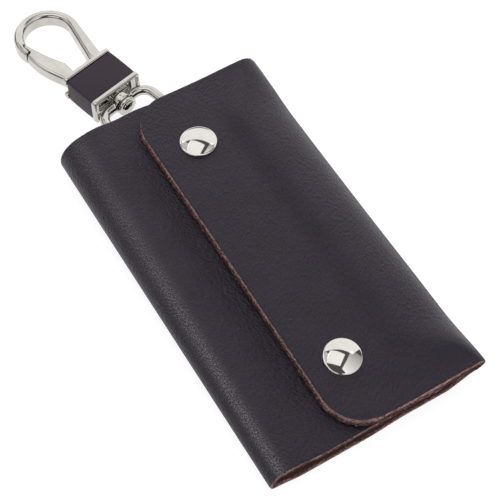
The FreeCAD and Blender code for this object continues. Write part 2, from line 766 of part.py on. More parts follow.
def swivel_stem():
    """Pin from the collar through the hub, peened over a stepped head inside the eye."""
    shoulder = HUB_REACH - HUB_LENGTH / 2 - STEM_GAP
    radius = STEM_DIAMETER / 2
    washer, button = [diameter / 2 for diameter in STEM_HEAD_DIAMETERS]
    step = shoulder - STEM_HEAD_STEPS[0]
    end = step - STEM_HEAD_STEPS[1]
    top = COLLAR_FOOT + STEM_SEAT
    stem = turned([(0, end), (button / 2, end), (button, (step + end) / 2), (button, step), (washer, step),
                   (washer, shoulder), (radius, shoulder), (radius, top), (0, top)])
    stem.rotate(V(0, 0, 0), X_AXIS, -90)
    return along_hook(stem)


def upright_block(width, height, corner, low, high):
    """Block with a rounded rectangular section across the hook axis, between two reaches."""
    block = face(rounded_rectangle(width, height, corner)).extrude(V(0, 0, high - low))
    block.rotate(V(0, 0, 0), X_AXIS, -90)
    block.translate(V(0, low, 0))
    return block


def loop_outline():
    """Outline of the hook's open loop, from the arm's foot over the top to the stepped nose."""
    foot_outer = V(ARM_FOOT_OUTER, COLLAR_HEAD + ARM_FOOT_RISE, 0)
    foot_inner = V(ARM_FOOT_INNER, COLLAR_HEAD + ARM_FOOT_RISE, 0)
    base_outer = V(ARM_FOOT_OUTER, COLLAR_HEAD - FLANGE_THICKNESS, 0)
    base_inner = V(ARM_FOOT_INNER, COLLAR_HEAD - FLANGE_THICKNESS, 0)
    outer = tangent_angle(LOOP_MIDDLE, LOOP_OUTER, foot_outer, 1)
    inner = tangent_angle(LOOP_MIDDLE, LOOP_INNER, foot_inner, 1)
    step = LOOP_INNER + (LOOP_OUTER - LOOP_INNER) * NOSE_STEP_SHARE
    nose = [
        polar(LOOP_MIDDLE, LOOP_OUTER, NOSE_ANGLE),
        polar(LOOP_MIDDLE, step, NOSE_ANGLE),
        polar(LOOP_MIDDLE, step, NOSE_STEP_ANGLE),
        polar(LOOP_MIDDLE, LOOP_INNER, NOSE_STEP_ANGLE),
    ]
    return [
        line(base_outer, foot_outer),
        line(foot_outer, polar(LOOP_MIDDLE, LOOP_OUTER, outer)),
        arc(polar(LOOP_MIDDLE, LOOP_OUTER, outer), polar(LOOP_MIDDLE, LOOP_OUTER, 90), nose[0]),
        line(nose[0], nose[1]),
        line(nose[1], nose[2]),
        line(nose[2], nose[3]),
        arc(nose[3], polar(LOOP_MIDDLE, LOOP_INNER, 90), polar(LOOP_MIDDLE, LOOP_INNER, inner)),
        line(polar(LOOP_MIDDLE, LOOP_INNER, inner), foot_inner),
        line(foot_inner, base_inner),
        line(base_inner, base_outer),
    ]


def rim_edges(plate, shortest):
    """Edges round a plate's upper and lower faces that are longer than a given length."""
    rims = []
    for edge in plate.Edges:
        flat = edge.Vertexes[0].Point.z * edge.Vertexes[-1].Point.z > 0
        if flat and edge.Length > shortest:
            rims.append(edge)
    return rims


def gate_slot():
    """Space in the collar that the gate's knuckle and the spring sit in, open to the left and above."""
    left = -FLANGE_WIDTH / 2 - OVERRUN
    low = COLLAR_HEAD - GATE_SLOT_DEPTH
    height = GATE_HEIGHT + 2 * GATE_SIDE_GAP
    return Part.makeBox(SLOT_INSIDE - left, GATE_SLOT_DEPTH + OVERRUN, height, V(left, low, -height / 2))


def hook_frame():
    """One casting: the loop's fixed arm and nose, two flanges and the neck between them."""
    loop = prism(loop_outline(), LOOP_HEIGHT)
    lap = LOOP_OUTER * math.radians(NOSE_ANGLE - NOSE_STEP_ANGLE)
    loop = loop.makeFillet(LOOP_ROUND, rim_edges(loop, lap))
    neck = upright_block(CORE_WIDTH, CORE_HEIGHT, CORE_CORNER, COLLAR_FOOT, COLLAR_HEAD)
    frame = neck.fuse(loop)
    for low in (COLLAR_FOOT, COLLAR_HEAD - FLANGE_THICKNESS):
        high = low + FLANGE_THICKNESS
        frame = frame.fuse(upright_block(FLANGE_WIDTH, FLANGE_HEIGHT, FLANGE_CORNER, low, high))
    rim = 2 * COLLAR_RECESS_RIM
    recess = upright_block(CORE_WIDTH - rim, CORE_HEIGHT - rim, COLLAR_RECESS_CORNER,
                           COLLAR_FOOT - OVERRUN, COLLAR_FOOT + COLLAR_RECESS_DEPTH)
    lip = 2 * FLANGE_RECESS_RIM
    dish = upright_block(FLANGE_WIDTH - lip, FLANGE_HEIGHT - lip, COLLAR_RECESS_CORNER,
                         COLLAR_FOOT - OVERRUN, COLLAR_FOOT + FLANGE_RECESS_DEPTH)
    seat_end = V(0, COLLAR_FOOT + STEM_SEAT, 0)
    seat = rod(STEM_DIAMETER + 2 * SEAT_FIT, V(0, COLLAR_FOOT - OVERRUN, 0), seat_end)
    pin = Part.makeCylinder(GATE_PIN / 2 + SEAT_FIT, FLANGE_HEIGHT, GATE_PIVOT - V(0, 0, FLANGE_HEIGHT / 2))
    frame = frame.cut([recess, dish, seat, pin, gate_slot()])
    return along_hook(frame.removeSplitter())


def collar_sleeve():
    """Leather sleeve round the neck, between the flanges, slit where the gate's slot opens."""
    low = COLLAR_FOOT + FLANGE_THICKNESS + SEAT_FIT
    high = COLLAR_HEAD - FLANGE_THICKNESS - SEAT_FIT
    outside = 2 * SLEEVE_INSET
    corner = FLANGE_CORNER - SLEEVE_INSET
    sleeve = upright_block(FLANGE_WIDTH - outside, FLANGE_HEIGHT - outside, corner, low, high)
    bore = 2 * SEAT_FIT
    hollow = upright_block(CORE_WIDTH + bore, CORE_HEIGHT + bore, CORE_CORNER, low - OVERRUN, high + OVERRUN)
    return along_hook(sleeve.cut(hollow))


def gate():
    """Lever that closes the loop: a knuckle on the pin, a waist in the slot and a tip behind the nose."""
    knuckle = GATE_KNUCKLE / 2
    foot_outer = V(-GATE_FOOT_OUTER, COLLAR_HEAD + GATE_FOOT_RISE, 0)
    foot_inner = V(-GATE_FOOT_INNER, COLLAR_HEAD + GATE_FOOT_RISE, 0)
    belly_outer = V(-GATE_BELLY_OUTER, COLLAR_HEAD + GATE_BELLY_RISE, 0)
    belly_inner = V(-GATE_BELLY_INNER, COLLAR_HEAD + GATE_BELLY_RISE, 0)
    tip_radius = LOOP_INNER + (LOOP_OUTER - LOOP_INNER) * NOSE_STEP_SHARE - GATE_TIP_GAP
    lap_turn = math.degrees(GATE_TIP_GAP / LOOP_INNER)
    lip = polar(LOOP_MIDDLE, LOOP_OUTER, NOSE_ANGLE + lap_turn)
    lip_inner = polar(LOOP_MIDDLE, tip_radius, NOSE_ANGLE + lap_turn)
    tip_outer = polar(LOOP_MIDDLE, tip_radius, NOSE_STEP_ANGLE + lap_turn)
    tip_inner = polar(LOOP_MIDDLE, LOOP_INNER, NOSE_STEP_ANGLE + lap_turn)
    outline = [
        arc(GATE_PIVOT + V(-knuckle, 0, 0), GATE_PIVOT + V(0, -knuckle, 0), GATE_PIVOT + V(knuckle, 0, 0)),
        line(GATE_PIVOT + V(knuckle, 0, 0), foot_inner),
        line(foot_inner, belly_inner),
        arc(belly_inner, (belly_inner + tip_inner) * 0.5 - V(GATE_INNER_HOLLOW, 0, 0), tip_inner),
        line(tip_inner, tip_outer),
        line(tip_outer, lip_inner),
        line(lip_inner, lip),
        arc(lip, (lip + belly_outer) * 0.5 - V(GATE_OUTER_BULGE, 0, 0), belly_outer),
        line(belly_outer, foot_outer),
        line(foot_outer, GATE_PIVOT + V(-knuckle, 0, 0)),
    ]
    lever = prism(outline, GATE_HEIGHT)
    lever = lever.makeFillet(GATE_ROUND, rim_edges(lever, GATE_KNUCKLE))
    hole = Part.makeCylinder(GATE_PIN / 2 + PIN_FIT, FLANGE_HEIGHT, GATE_PIVOT - V(0, 0, FLANGE_HEIGHT / 2))
    return along_hook(lever.cut(hole))


def gate_pin():
    """Pin through the collar that the gate turns on."""
    return along_hook(Part.makeCylinder(GATE_PIN / 2, CORE_HEIGHT, GATE_PIVOT - V(0, 0, CORE_HEIGHT / 2)))


def gate_spring():
    """Hairpin leaf against the slot's wall, drawn as the open gate presses it."""
    wall = SLOT_INSIDE - SEAT_FIT
    low = COLLAR_HEAD - GATE_SLOT_DEPTH + SEAT_FIT
    high = low + GATE_LEAF_LENGTH
    inner = wall - GATE_LEAF
    tip = wall - GATE_LEAF_SPREAD
    foot = low + GATE_LEAF
    outline = Part.makePolygon([
        V(wall, high, 0), V(inner, high, 0), V(inner, foot + GATE_LEAF, 0),
        V(tip + GATE_LEAF, high, 0), V(tip, high, 0), V(inner - GATE_LEAF, low, 0),
        V(wall, low, 0), V(wall, high, 0),
    ])
    return along_hook(prism(outline.Edges, GATE_LEAF_WIDTH))


def build_hook():
    """Anchor, swivel eye and belt hook."""
    return {
        "anchor_tab": anchor_tab(),
        "anchor_rivet": anchor_rivet(),
        "swivel_eye": swivel_eye(),
        "swivel_stem": swivel_stem(),
        "hook_frame": hook_frame(),
        "collar_sleeve": collar_sleeve(),
        "gate": gate(),
        "gate_pin": gate_pin(),
        "gate_spring": gate_spring(),
    }


def main():
    """Build every piece and write one file for each."""
    os.makedirs("parts", exist_ok=True)
    nodes = {}
    for build in (build_leather, build_snaps, build_key_hardware, build_hook):
        nodes.update(build())
    for name, shape in nodes.items():
        shape.exportStep(f"parts/{name}.step")
        print(name, len(shape.Solids), shape.isValid(), round(shape.Volume, 2))


main()
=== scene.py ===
"""Looks of a leather key case with two snaps and a swivelling belt hook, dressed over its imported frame.

The case lies on its back, hook towards +Y, flap fold on +X.  Lengths are metres.
"""
import json
import logging
import math
from dataclasses import dataclass
from enum import IntEnum

import bmesh
import bpy
from mathutils import Matrix, Vector, noise


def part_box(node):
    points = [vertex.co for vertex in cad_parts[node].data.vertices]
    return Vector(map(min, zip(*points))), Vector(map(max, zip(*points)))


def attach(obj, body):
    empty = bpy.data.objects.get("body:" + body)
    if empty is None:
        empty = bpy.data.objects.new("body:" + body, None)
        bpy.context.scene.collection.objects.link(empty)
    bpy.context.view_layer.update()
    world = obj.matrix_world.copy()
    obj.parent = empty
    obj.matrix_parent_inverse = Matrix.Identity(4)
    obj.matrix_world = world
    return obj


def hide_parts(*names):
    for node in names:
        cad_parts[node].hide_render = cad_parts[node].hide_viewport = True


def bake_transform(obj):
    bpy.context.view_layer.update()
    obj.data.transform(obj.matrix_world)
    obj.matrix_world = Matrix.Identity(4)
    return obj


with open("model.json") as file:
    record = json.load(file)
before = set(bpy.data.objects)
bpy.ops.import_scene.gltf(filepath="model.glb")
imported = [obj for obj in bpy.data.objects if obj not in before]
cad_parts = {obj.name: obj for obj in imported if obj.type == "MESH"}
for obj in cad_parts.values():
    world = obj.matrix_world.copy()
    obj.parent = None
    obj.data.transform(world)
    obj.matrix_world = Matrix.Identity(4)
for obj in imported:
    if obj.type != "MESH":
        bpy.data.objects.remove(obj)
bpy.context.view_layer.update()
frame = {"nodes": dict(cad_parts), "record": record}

MM = 0.001
LOG = logging.getLogger("key_case")

Colour = tuple[float, float, float, float]
Mesh = bmesh.types.BMesh
Node = bpy.types.Node
Object = bpy.types.Object
Socket = bpy.types.NodeSocket


def mix(low: float, high: float, share: float) -> float:
    """Value at a share of the way from low to high."""
    return low + (high - low) * share


def ease(share: float) -> float:
    """Smooth step of a share, held between 0 and 1."""
    held = min(max(share, 0.0), 1.0)
    return held * held * (3 - 2 * held)


def near_low_end(share: float, reach: float) -> float:
    """1 at the case's low end, falling to 0 at a reach from it, both as shares of the length."""
    return ease(1 - share / reach)


def near_hook_end(share: float, reach: float) -> float:
    """1 at the case's hook end, falling to 0 at a reach from it, both as shares of the length."""
    return near_low_end(1 - share, reach)


def spaced(start: float, end: float, step: float) -> list[float]:
    """Evenly spaced values from start up to, and without, end.

    Args:
        start: First value.
        end: Value that the next stretch starts with.
        step: Largest distance between two values.

    Returns:
        The values, in order.
    """
    count = max(1, math.ceil(abs(end - start) / step))
    return [mix(start, end, index / count) for index in range(count)]


class Leather(IntEnum):
    """Material slots of a leather piece."""

    GRAIN = 0
    FLESH = 1
    CUT = 2


class Side(IntEnum):
    """The two halves of the folded sheet, by the sign of X of their folds."""

    FLAP = 1
    PANEL = -1


class MixSocket(IntEnum):
    """Colour sockets of a Mix node, which share their names with its other sockets."""

    FIRST = 6
    SECOND = 7
    RESULT = 2


class Graph:
    """Adds and links the nodes of one shader tree."""

    def __init__(self, tree: bpy.types.NodeTree) -> None:
        """Keep the tree that the nodes go into."""
        self.tree = tree

    def add(self, kind: str, **settings: object) -> Node:
        """Add a node.

        Args:
            kind: The node's type, without the leading ShaderNode.
            settings: Attributes of the node, and its inputs as fill takes them.

        Returns:
            The new node.
        """
        node = self.tree.nodes.new("ShaderNode" + kind)
        inputs = {}
        for name, value in settings.items():
            if hasattr(node, name):
                setattr(node, name, value)
            else:
                inputs[name] = value
        self.fill(node, **inputs)
        return node

    def fill(self, node: Node, **values: object) -> None:
        """Feed inputs of a node, named with underscores for spaces."""
        for name, value in values.items():
            self.feed(node.inputs[name.replace("_", " ")], value)

    def feed(self, socket: Socket, value: object) -> None:
        """Link an output to a socket, or set the socket's value.

        Args:
            socket: An input of a node.
            value: The output of another node, or a plain value.
        """
        if isinstance(value, Socket):
            self.tree.links.new(value, socket)
        else:
            socket.default_value = value

    def join(self, kind: str, *values: object, **settings: object) -> Socket:
        """Add a node whose inputs are fed in their order.

        Args:
            kind: The node's type, without the leading ShaderNode.
            values: Values or outputs for its first inputs.
            settings: Attributes of the node.

        Returns:
            The node's first output.
        """
        node = self.add(kind, **settings)
        for socket, value in zip(node.inputs, values):
            self.feed(socket, value)
        return node.outputs[0]

    def math(self, operation: str, *values: object) -> Socket:
        """Result of a math node on values or outputs."""
        return self.join("Math", *values, operation=operation)

    def ramp(self, value: Socket, low: float, high: float) -> Socket:
        """Value mapped smoothly to 0 at low and 1 at high."""
        node = self.add("MapRange", interpolation_type="SMOOTHSTEP", Value=value, From_Min=low, From_Max=high)
        return node.outputs["Result"]

    def blend(self, share: object, first: object, second: object) -> Socket:
        """Colour between two colours.

        Args:
            share: Share of the second colour.
            first: Colour at 0.
            second: Colour at 1.

        Returns:
            The blended colour.
        """
        node = self.add("Mix", data_type="RGBA", Factor=share)
        self.feed(node.inputs[MixSocket.FIRST], first)
        self.feed(node.inputs[MixSocket.SECOND], second)
        return node.outputs[MixSocket.RESULT]

    def noise(self, place: Socket, scale: object, detail: float, roughness: float = 0.5) -> Socket:
        """Noise between 0 and 1 over the surface."""
        node = self.add("TexNoise", Vector=place, Scale=scale, Detail=detail, Roughness=roughness)
        return node.outputs["Fac"]

    def relief(self, shader: Node, height: Socket, depth: float, strength: float = 1.0) -> None:
        """Let a height raise the surface of a shader."""
        bump = self.add("Bump", Strength=strength, Distance=depth, Height=height)
        self.fill(shader, Normal=bump.outputs["Normal"])


class Finish:
    """Base of the finishes: a named material with one Principled BSDF."""

    name: str

    def material(self) -> bpy.types.Material:
        """The finish's material, made when it is first asked for.

        Returns:
            The material.
        """
        found = bpy.data.materials.get(self.name)
        if found:
            return found
        made = bpy.data.materials.new(self.name)
        made.use_nodes = True
        graph = Graph(made.node_tree)
        self.dress(graph, made.node_tree.nodes["Principled BSDF"])
        return made

    def dress(self, graph: Graph, shader: Node) -> None:
        """Feed the shader; each finish has its own way.

        Args:
            graph: Graph of the material.
            shader: Its Principled BSDF.
        """
        raise NotImplementedError


@dataclass(frozen=True)
class GrainPattern:
    """Pebbled leather grain, drawn out across the sheet; rates count from the grain's own scale."""

    name: str = "leather_grain"
    turn: float = math.radians(31.5)
    stretch: tuple[float, float, float] = (1, 2, 1)
    warp_rate: float = 0.6
    warp_reach: float = 0.9
    smoothness: float = 0.45
    fine_rate: float = 2.3
    fine_depth: float = -0.35
    tone_rate: float = 0.05
    tone_range: tuple[float, float] = (0.35, 0.65)

    def group(self) -> bpy.types.NodeTree:
        """The pattern's node group, made when it is first asked for.

        Returns:
            A node group with inputs Vector and Scale and outputs Height, Pebble and Tone.
        """
        found = bpy.data.node_groups.get(self.name)
        if found:
            return found
        tree = bpy.data.node_groups.new(self.name, "ShaderNodeTree")
        tree.interface.new_socket("Vector", in_out="INPUT", socket_type="NodeSocketVector")
        tree.interface.new_socket("Scale", in_out="INPUT", socket_type="NodeSocketFloat")
        for name in ("Height", "Pebble", "Tone"):
            tree.interface.new_socket(name, in_out="OUTPUT", socket_type="NodeSocketFloat")
        graph = Graph(tree)
        given = tree.nodes.new("NodeGroupInput").outputs
        put = tree.nodes.new("NodeGroupOutput").inputs
        place, scale = given["Vector"], given["Scale"]
        drawn = graph.add("Mapping", vector_type="TEXTURE", Vector=place, Rotation=(0, 0, self.turn),
                          Scale=self.stretch).outputs[0]
        warp = graph.add("TexNoise", Vector=drawn, Detail=2.0,
                         Scale=graph.math("MULTIPLY", scale, self.warp_rate))
        shift = graph.add("VectorMath", operation="SCALE", Vector=warp.outputs["Color"],
                          Scale=graph.math("DIVIDE", self.warp_reach, scale)).outputs[0]
        moved = graph.join("VectorMath", drawn, shift, operation="ADD")
        cells = graph.add("TexVoronoi", feature="SMOOTH_F1", Vector=moved, Scale=scale,
                          Smoothness=self.smoothness)
        fine = graph.add("TexVoronoi", Vector=moved, Scale=graph.math("MULTIPLY", scale, self.fine_rate))
        pebble = graph.math("SUBTRACT", 1.0, cells.outputs["Distance"])
        small = graph.math("MULTIPLY", fine.outputs["Distance"], self.fine_depth)
        graph.feed(put["Height"], graph.math("ADD", pebble, small))
        graph.feed(put["Pebble"], pebble)
        graph.feed(put["Tone"], graph.noise(place, graph.math("MULTIPLY", scale, self.tone_rate), detail=5.0))
        return tree

    def add(self, graph: Graph, place: Socket, scale: float) -> bpy.types.NodeOutputs:
        """Outputs of the pattern, placed in a material."""
        return graph.add("Group", node_tree=self.group(), Vector=place, Scale=scale).outputs

    def tone(self, graph: Graph, grain: bpy.types.NodeOutputs) -> Socket:
        """Share of the lighter tone."""
        return graph.ramp(grain["Tone"], *self.tone_range)


PATTERN = GrainPattern()


@dataclass(frozen=True)
class GrainLeather(Finish):
    """Dyed grain side of the leather; rates are patches or specks per metre."""

    name: str = "grain_leather"
    dark: Colour = (0.0110, 0.0060, 0.0135, 1)
    light: Colour = (0.0165, 0.0095, 0.0195, 1)
    ruddy: Colour = (0.0205, 0.0080, 0.0115, 1)
    ruddy_rate: float = 130.0
    ruddy_range: tuple[float, float] = (0.50, 0.72)
    ruddy_share: float = 0.8
    # Pale colour of the worn shoulder's specks: partly rubbed wear, partly a painted highlight.
    rubbed_pale_and_highlight: Colour = (0.27, 0.255, 0.275, 1)
    speck_rate: float = 2600.0
    speck_range: tuple[float, float] = (0.40, 0.70)
    hollow_roughness: float = 0.48
    pebble_polish: float = -0.10
    gloss: float = 0.45
    gloss_tint: Colour = (0.93, 0.89, 1.0, 1)
    sheen: float = 0.12
    sheen_roughness: float = 0.35
    sheen_tint: Colour = (0.70, 0.72, 1.0, 1)
    grain: float = 1900.0
    depth: float = 0.21 * MM

    def dress(self, graph: Graph, shader: Node) -> None:
        """Pebbled grain with soft clouds of tone, pale in specks on the worn shoulder: partly rubbed wear and
        partly a painted highlight.

        Args:
            graph: Graph of the material.
            shader: Its Principled BSDF.
        """
        place = graph.add("Attribute", attribute_name="sheet").outputs["Vector"]
        wear_and_highlight = graph.add("Attribute", attribute_name="wear_and_highlight").outputs["Fac"]
        grain = PATTERN.add(graph, place, self.grain)
        patch = graph.ramp(graph.noise(place, self.ruddy_rate, 5.0, 0.65), *self.ruddy_range)
        dyed = graph.blend(PATTERN.tone(graph, grain), self.dark, self.light)
        dyed = graph.blend(graph.math("MULTIPLY", patch, self.ruddy_share), dyed, self.ruddy)
        specks = graph.ramp(graph.noise(place, self.speck_rate, 3.0, 0.6), *self.speck_range)
        # Painted highlight and rubbed wear: pale specks where the fold's shoulder is worn.
        pale_wear_and_highlight_specks = graph.math("MULTIPLY", wear_and_highlight, specks)
        rough = graph.math("MULTIPLY_ADD", grain["Pebble"], self.pebble_polish, self.hollow_roughness)
        graph.fill(shader, Base_Color=graph.blend(pale_wear_and_highlight_specks, dyed, self.rubbed_pale_and_highlight), Roughness=rough,
                   Specular_IOR_Level=self.gloss, Specular_Tint=self.gloss_tint, Sheen_Weight=self.sheen,
                   Sheen_Roughness=self.sheen_roughness, Sheen_Tint=self.sheen_tint)
        graph.relief(shader, grain["Height"], self.depth)


@dataclass(frozen=True)
class FleshLeather(Finish):
    """Napped flesh side of the leather; rates are fibres or patches per metre."""

    name: str = "flesh_leather"
    dark: Colour = (0.070, 0.034, 0.031, 1)
    light: Colour = (0.135, 0.070, 0.063, 1)
    nap_rate: float = 2600.0
    nap_share: float = 0.75
    nap_depth: float = 0.1 * MM
    patch_rate: float = 286.0
    patch_share: float = 0.35
    tone_range: tuple[float, float] = (0.35, 0.75)
    roughness: float = 0.95
    gloss: float = 0.15

    def dress(self, graph: Graph, shader: Node) -> None:
        """Short fibres over patches of tone.

        Args:
            graph: Graph of the material.
            shader: Its Principled BSDF.
        """
        place = graph.add("Attribute", attribute_name="sheet").outputs["Vector"]
        fibre = graph.noise(place, self.nap_rate, 4.0, 0.7)
        patch = graph.noise(place, self.patch_rate, 5.0)
        nap = graph.math("MULTIPLY", fibre, self.nap_share)
        share = graph.ramp(graph.math("MULTIPLY_ADD", patch, self.patch_share, nap), *self.tone_range)
        graph.fill(shader, Base_Color=graph.blend(share, self.dark, self.light), Roughness=self.roughness,
                   Specular_IOR_Level=self.gloss)
        graph.relief(shader, fibre, self.nap_depth, 0.7)


@dataclass(frozen=True)
class CutLeather(Finish):
    """Raw cut edge: paler fibres in layers, darker towards the flesh side; rates are per metre."""

    name: str = "cut_leather"
    dark: Colour = (0.065, 0.028, 0.026, 1)
    light: Colour = (0.62, 0.385, 0.37, 1)
    thickness: float = 1.7 * MM
    stretch: tuple[float, float, float] = (0.75, 0.75, 2.2)
    fibre_rate: float = 1900.0
    fibre_share: float = 1.9
    fibre_depth: float = 0.15 * MM
    clump_rate: float = 350.0
    clump_share: float = 0.5
    top_range: tuple[float, float] = (0.75, 0.25)
    top_share: float = 0.25
    darkening: float = -0.95
    tone_range: tuple[float, float] = (0.24, 0.74)
    roughness: float = 0.9
    gloss: float = 0.2

    def dress(self, graph: Graph, shader: Node) -> None:
        """Fibres drawn out along the edge, in two tones by depth.

        Args:
            graph: Graph of the material.
            shader: Its Principled BSDF.
        """
        place = graph.add("Attribute", attribute_name="sheet").outputs["Vector"]
        height = graph.add("SeparateXYZ", Vector=place).outputs["Z"]
        drawn = graph.add("Mapping", Vector=place, Scale=self.stretch).outputs[0]
        fibre = graph.noise(drawn, self.fibre_rate, 5.0, 0.7)
        clump = graph.noise(drawn, self.clump_rate, 3.0)
        top = graph.ramp(graph.math("DIVIDE", height, -self.thickness), *self.top_range)
        pale = graph.math("MULTIPLY", top, self.top_share)
        share = graph.math("MULTIPLY_ADD", fibre, self.fibre_share, pale)
        clumps = graph.math("MULTIPLY_ADD", clump, self.clump_share, self.darkening)
        tone = graph.ramp(graph.math("ADD", share, clumps), *self.tone_range)
        graph.fill(shader, Base_Color=graph.blend(tone, self.dark, self.light), Roughness=self.roughness,
                   Specular_IOR_Level=self.gloss)
        graph.relief(shader, fibre, self.fibre_depth, 0.8)


@dataclass(frozen=True)
class CollarLeather(Finish):
    """Smooth leather of the collar's sleeve."""

    name: str = "smooth_sleeve_leather"
    dark: Colour = (0.0370, 0.0240, 0.0365, 1)
    light: Colour = (0.0440, 0.0285, 0.0420, 1)
    grain: float = 1700.0
    depth: float = 0.04 * MM
    hollow_roughness: float = 0.5
    pebble_polish: float = -0.08
    gloss: float = 0.22

    def dress(self, graph: Graph, shader: Node) -> None:
        """Fine close grain.

        Args:
            graph: Graph of the material.
            shader: Its Principled BSDF.
        """
        grain = PATTERN.add(graph, graph.add("TexCoord").outputs["Object"], self.grain)
        rough = graph.math("MULTIPLY_ADD", grain["Pebble"], self.pebble_polish, self.hollow_roughness)
        graph.fill(shader, Base_Color=graph.blend(PATTERN.tone(graph, grain), self.dark, self.light),
                   Roughness=rough, Specular_IOR_Level=self.gloss)
        graph.relief(shader, grain["Height"], self.depth, 0.5)


@dataclass(frozen=True)
class Metal(Finish):
    """Plated or bare metal with faint polishing marks; rates are clouds or marks per metre."""

    name: str
    colour: Colour
    shade: Colour
    polish: float
    cloud_rate: float = 220.0
    cloud_range: tuple[float, float] = (0.3, 0.7)
    rub_rate: float = 2400.0
    rub_depth: float = 0.06

    def dress(self, graph: Graph, shader: Node) -> None:
        """Clouded plating with fine rubbing marks.

        Args:
            graph: Graph of the material.
            shader: Its Principled BSDF.
        """
        place = graph.add("TexCoord").outputs["Object"]
        cloud = graph.ramp(graph.noise(place, self.cloud_rate, 4.0), *self.cloud_range)
        rub = graph.noise(place, self.rub_rate, 3.0)
        graph.fill(shader, Base_Color=graph.blend(cloud, self.colour, self.shade), Metallic=1.0,
                   Roughness=graph.math("MULTIPLY_ADD", rub, self.rub_depth, self.polish))


NICKEL = Metal("nickel_plate", (0.68, 0.66, 0.63, 1), (0.62, 0.595, 0.56, 1), 0.04)
CAST_NICKEL = Metal("cast_nickel", (0.60, 0.585, 0.555, 1), (0.53, 0.510, 0.475, 1), 0.12)
SPRING_STEEL = Metal("drawn_steel", (0.52, 0.52, 0.54, 1), (0.40, 0.40, 0.42, 1), 0.21)
SHEET_LEATHER = (GrainLeather(), FleshLeather(), CutLeather())


def as_object(name: str, mesh: Mesh, finishes: tuple[Finish, ...]) -> Object:
    """Turn a mesh into a linked object with its finishes.

    Args:
        name: Name of the object.
        mesh: The mesh, which is freed.
        finishes: Finishes by material slot.

    Returns:
        The object.
    """
    data = bpy.data.meshes.new(name)
    mesh.to_mesh(data)
    mesh.free()
    for finish in finishes:
        data.materials.append(finish.material())
    made = bpy.data.objects.new(name, data)
    bpy.context.scene.collection.objects.link(made)
    return made


def stand_in(piece: Object, body: str, node: str) -> Object:
    """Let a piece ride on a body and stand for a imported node.

    Args:
        piece: The finished piece.
        body: Body that carries it.
        node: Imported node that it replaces.

    Returns:
        The piece.
    """
    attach(piece, body)
    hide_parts(node)
    return piece


def shade_smooth(mesh: Mesh) -> None:
    """Shade every face of a mesh smoothly."""
    for face in mesh.faces:
        face.smooth = True


@dataclass(frozen=True)
class Hole:
    """Round hole in a sheet, by its place in runs."""

    run: float
    along: float
    radius: float
    border: float = 1.5 * MM

    def punch(self, mesh: Mesh) -> None:
        """Cut the hole through a flat blank.

        Args:
            mesh: The blank, not yet thick.
        """
        centre = Vector((self.run, self.along, 0))
        gone = [face for face in mesh.faces if (face.calc_center_median() - centre).length < self.radius]
        bmesh.ops.delete(mesh, geom=gone, context="FACES")
        for vert in mesh.verts:
            away = vert.co - centre
            if vert.is_boundary and away.length < self.radius + self.border:
                vert.co = centre + away.normalized() * self.radius


def thicken(mesh: Mesh, thickness: float, cuts: int = 0) -> None:
    """Give a flat blank its thickness below the grain face, and its faces their leather slots.

    Args:
        mesh: The blank, grain side up.
        thickness: Thickness of the leather.
        cuts: Cuts of the walls between the two faces.
    """
    grown = bmesh.ops.extrude_face_region(mesh, geom=mesh.faces[:])
    lower = [item for item in grown["geom"] if isinstance(item, bmesh.types.BMVert)]
    bmesh.ops.translate(mesh, verts=lower, vec=(0, 0, -thickness))
    bmesh.ops.recalc_face_normals(mesh, faces=mesh.faces[:])
    if cuts:
        uprights = [edge for edge in mesh.edges
                    if abs(edge.verts[0].co.z - edge.verts[1].co.z) > thickness / 2]
        bmesh.ops.subdivide_edges(mesh, edges=uprights, cuts=cuts)
    mesh.normal_update()
    steep = 0.5
    for face in mesh.faces:
        face.smooth = True
        face.material_index = Leather.CUT
        if abs(face.normal.z) > steep:
            face.material_index = Leather.GRAIN if face.normal.z > 0 else Leather.FLESH
    for edge in mesh.edges:
        edge.smooth = len({face.material_index for face in edge.link_faces}) == 1


@dataclass(frozen=True)
class Hump:
    """Soft rise of the leather across the case."""

    rise: float
    middle: float
    breadth: float

    def at(self, across: float) -> float:
        """Rise at a place across the case."""
        return self.rise * math.exp(-((across - self.middle) / self.breadth) ** 2)


@dataclass(frozen=True)
class PanelLie:
    """How the front panel has come to lie: bowed at the hook end and hollow beside the flap."""

    end_share: float = 0.28
    draw: float = 0.9 * MM
    draw_start: float = -15 * MM
    draw_reach: float = 15 * MM
    tongue: Hump = Hump(0.9 * MM, -7 * MM, 8 * MM)
    tongue_lift: Hump = Hump(0.4 * MM, -7 * MM, 8 * MM)
    hook_hump: Hump = Hump(1.2 * MM, -20 * MM, 6 * MM)
    low_hump: Hump = Hump(0.7 * MM, -26 * MM, 5 * MM)
    hollow: Hump = Hump(-0.9 * MM, -12.5 * MM, 5 * MM)
    hollow_low_share: float = 0.2
    hollow_hook_share: float = 0.3

    def shift(self, across: float, share: float, upper: float) -> Vector:
        """Way that a point has moved from the even sheet.

        Args:
            across: Place on X.
            share: Share of the case's length from the low end.
            upper: Share of the way from the fold's middle to the top layer.

        Returns:
            The way.
        """
        low_end, hook_end = near_low_end(share, self.end_share), near_hook_end(share, self.end_share)
        drawn = self.draw * ease((self.draw_start - across) / self.draw_reach)
        between = ease(share / self.hollow_low_share) * ease((1 - share) / self.hollow_hook_share)
        rise = hook_end * (self.tongue_lift.at(across) + self.hook_hump.at(across))
        rise += low_end * self.low_hump.at(across) + between * self.hollow.at(across)
        return Vector((0, hook_end * (upper * self.tongue.at(across) - drawn), upper * rise))


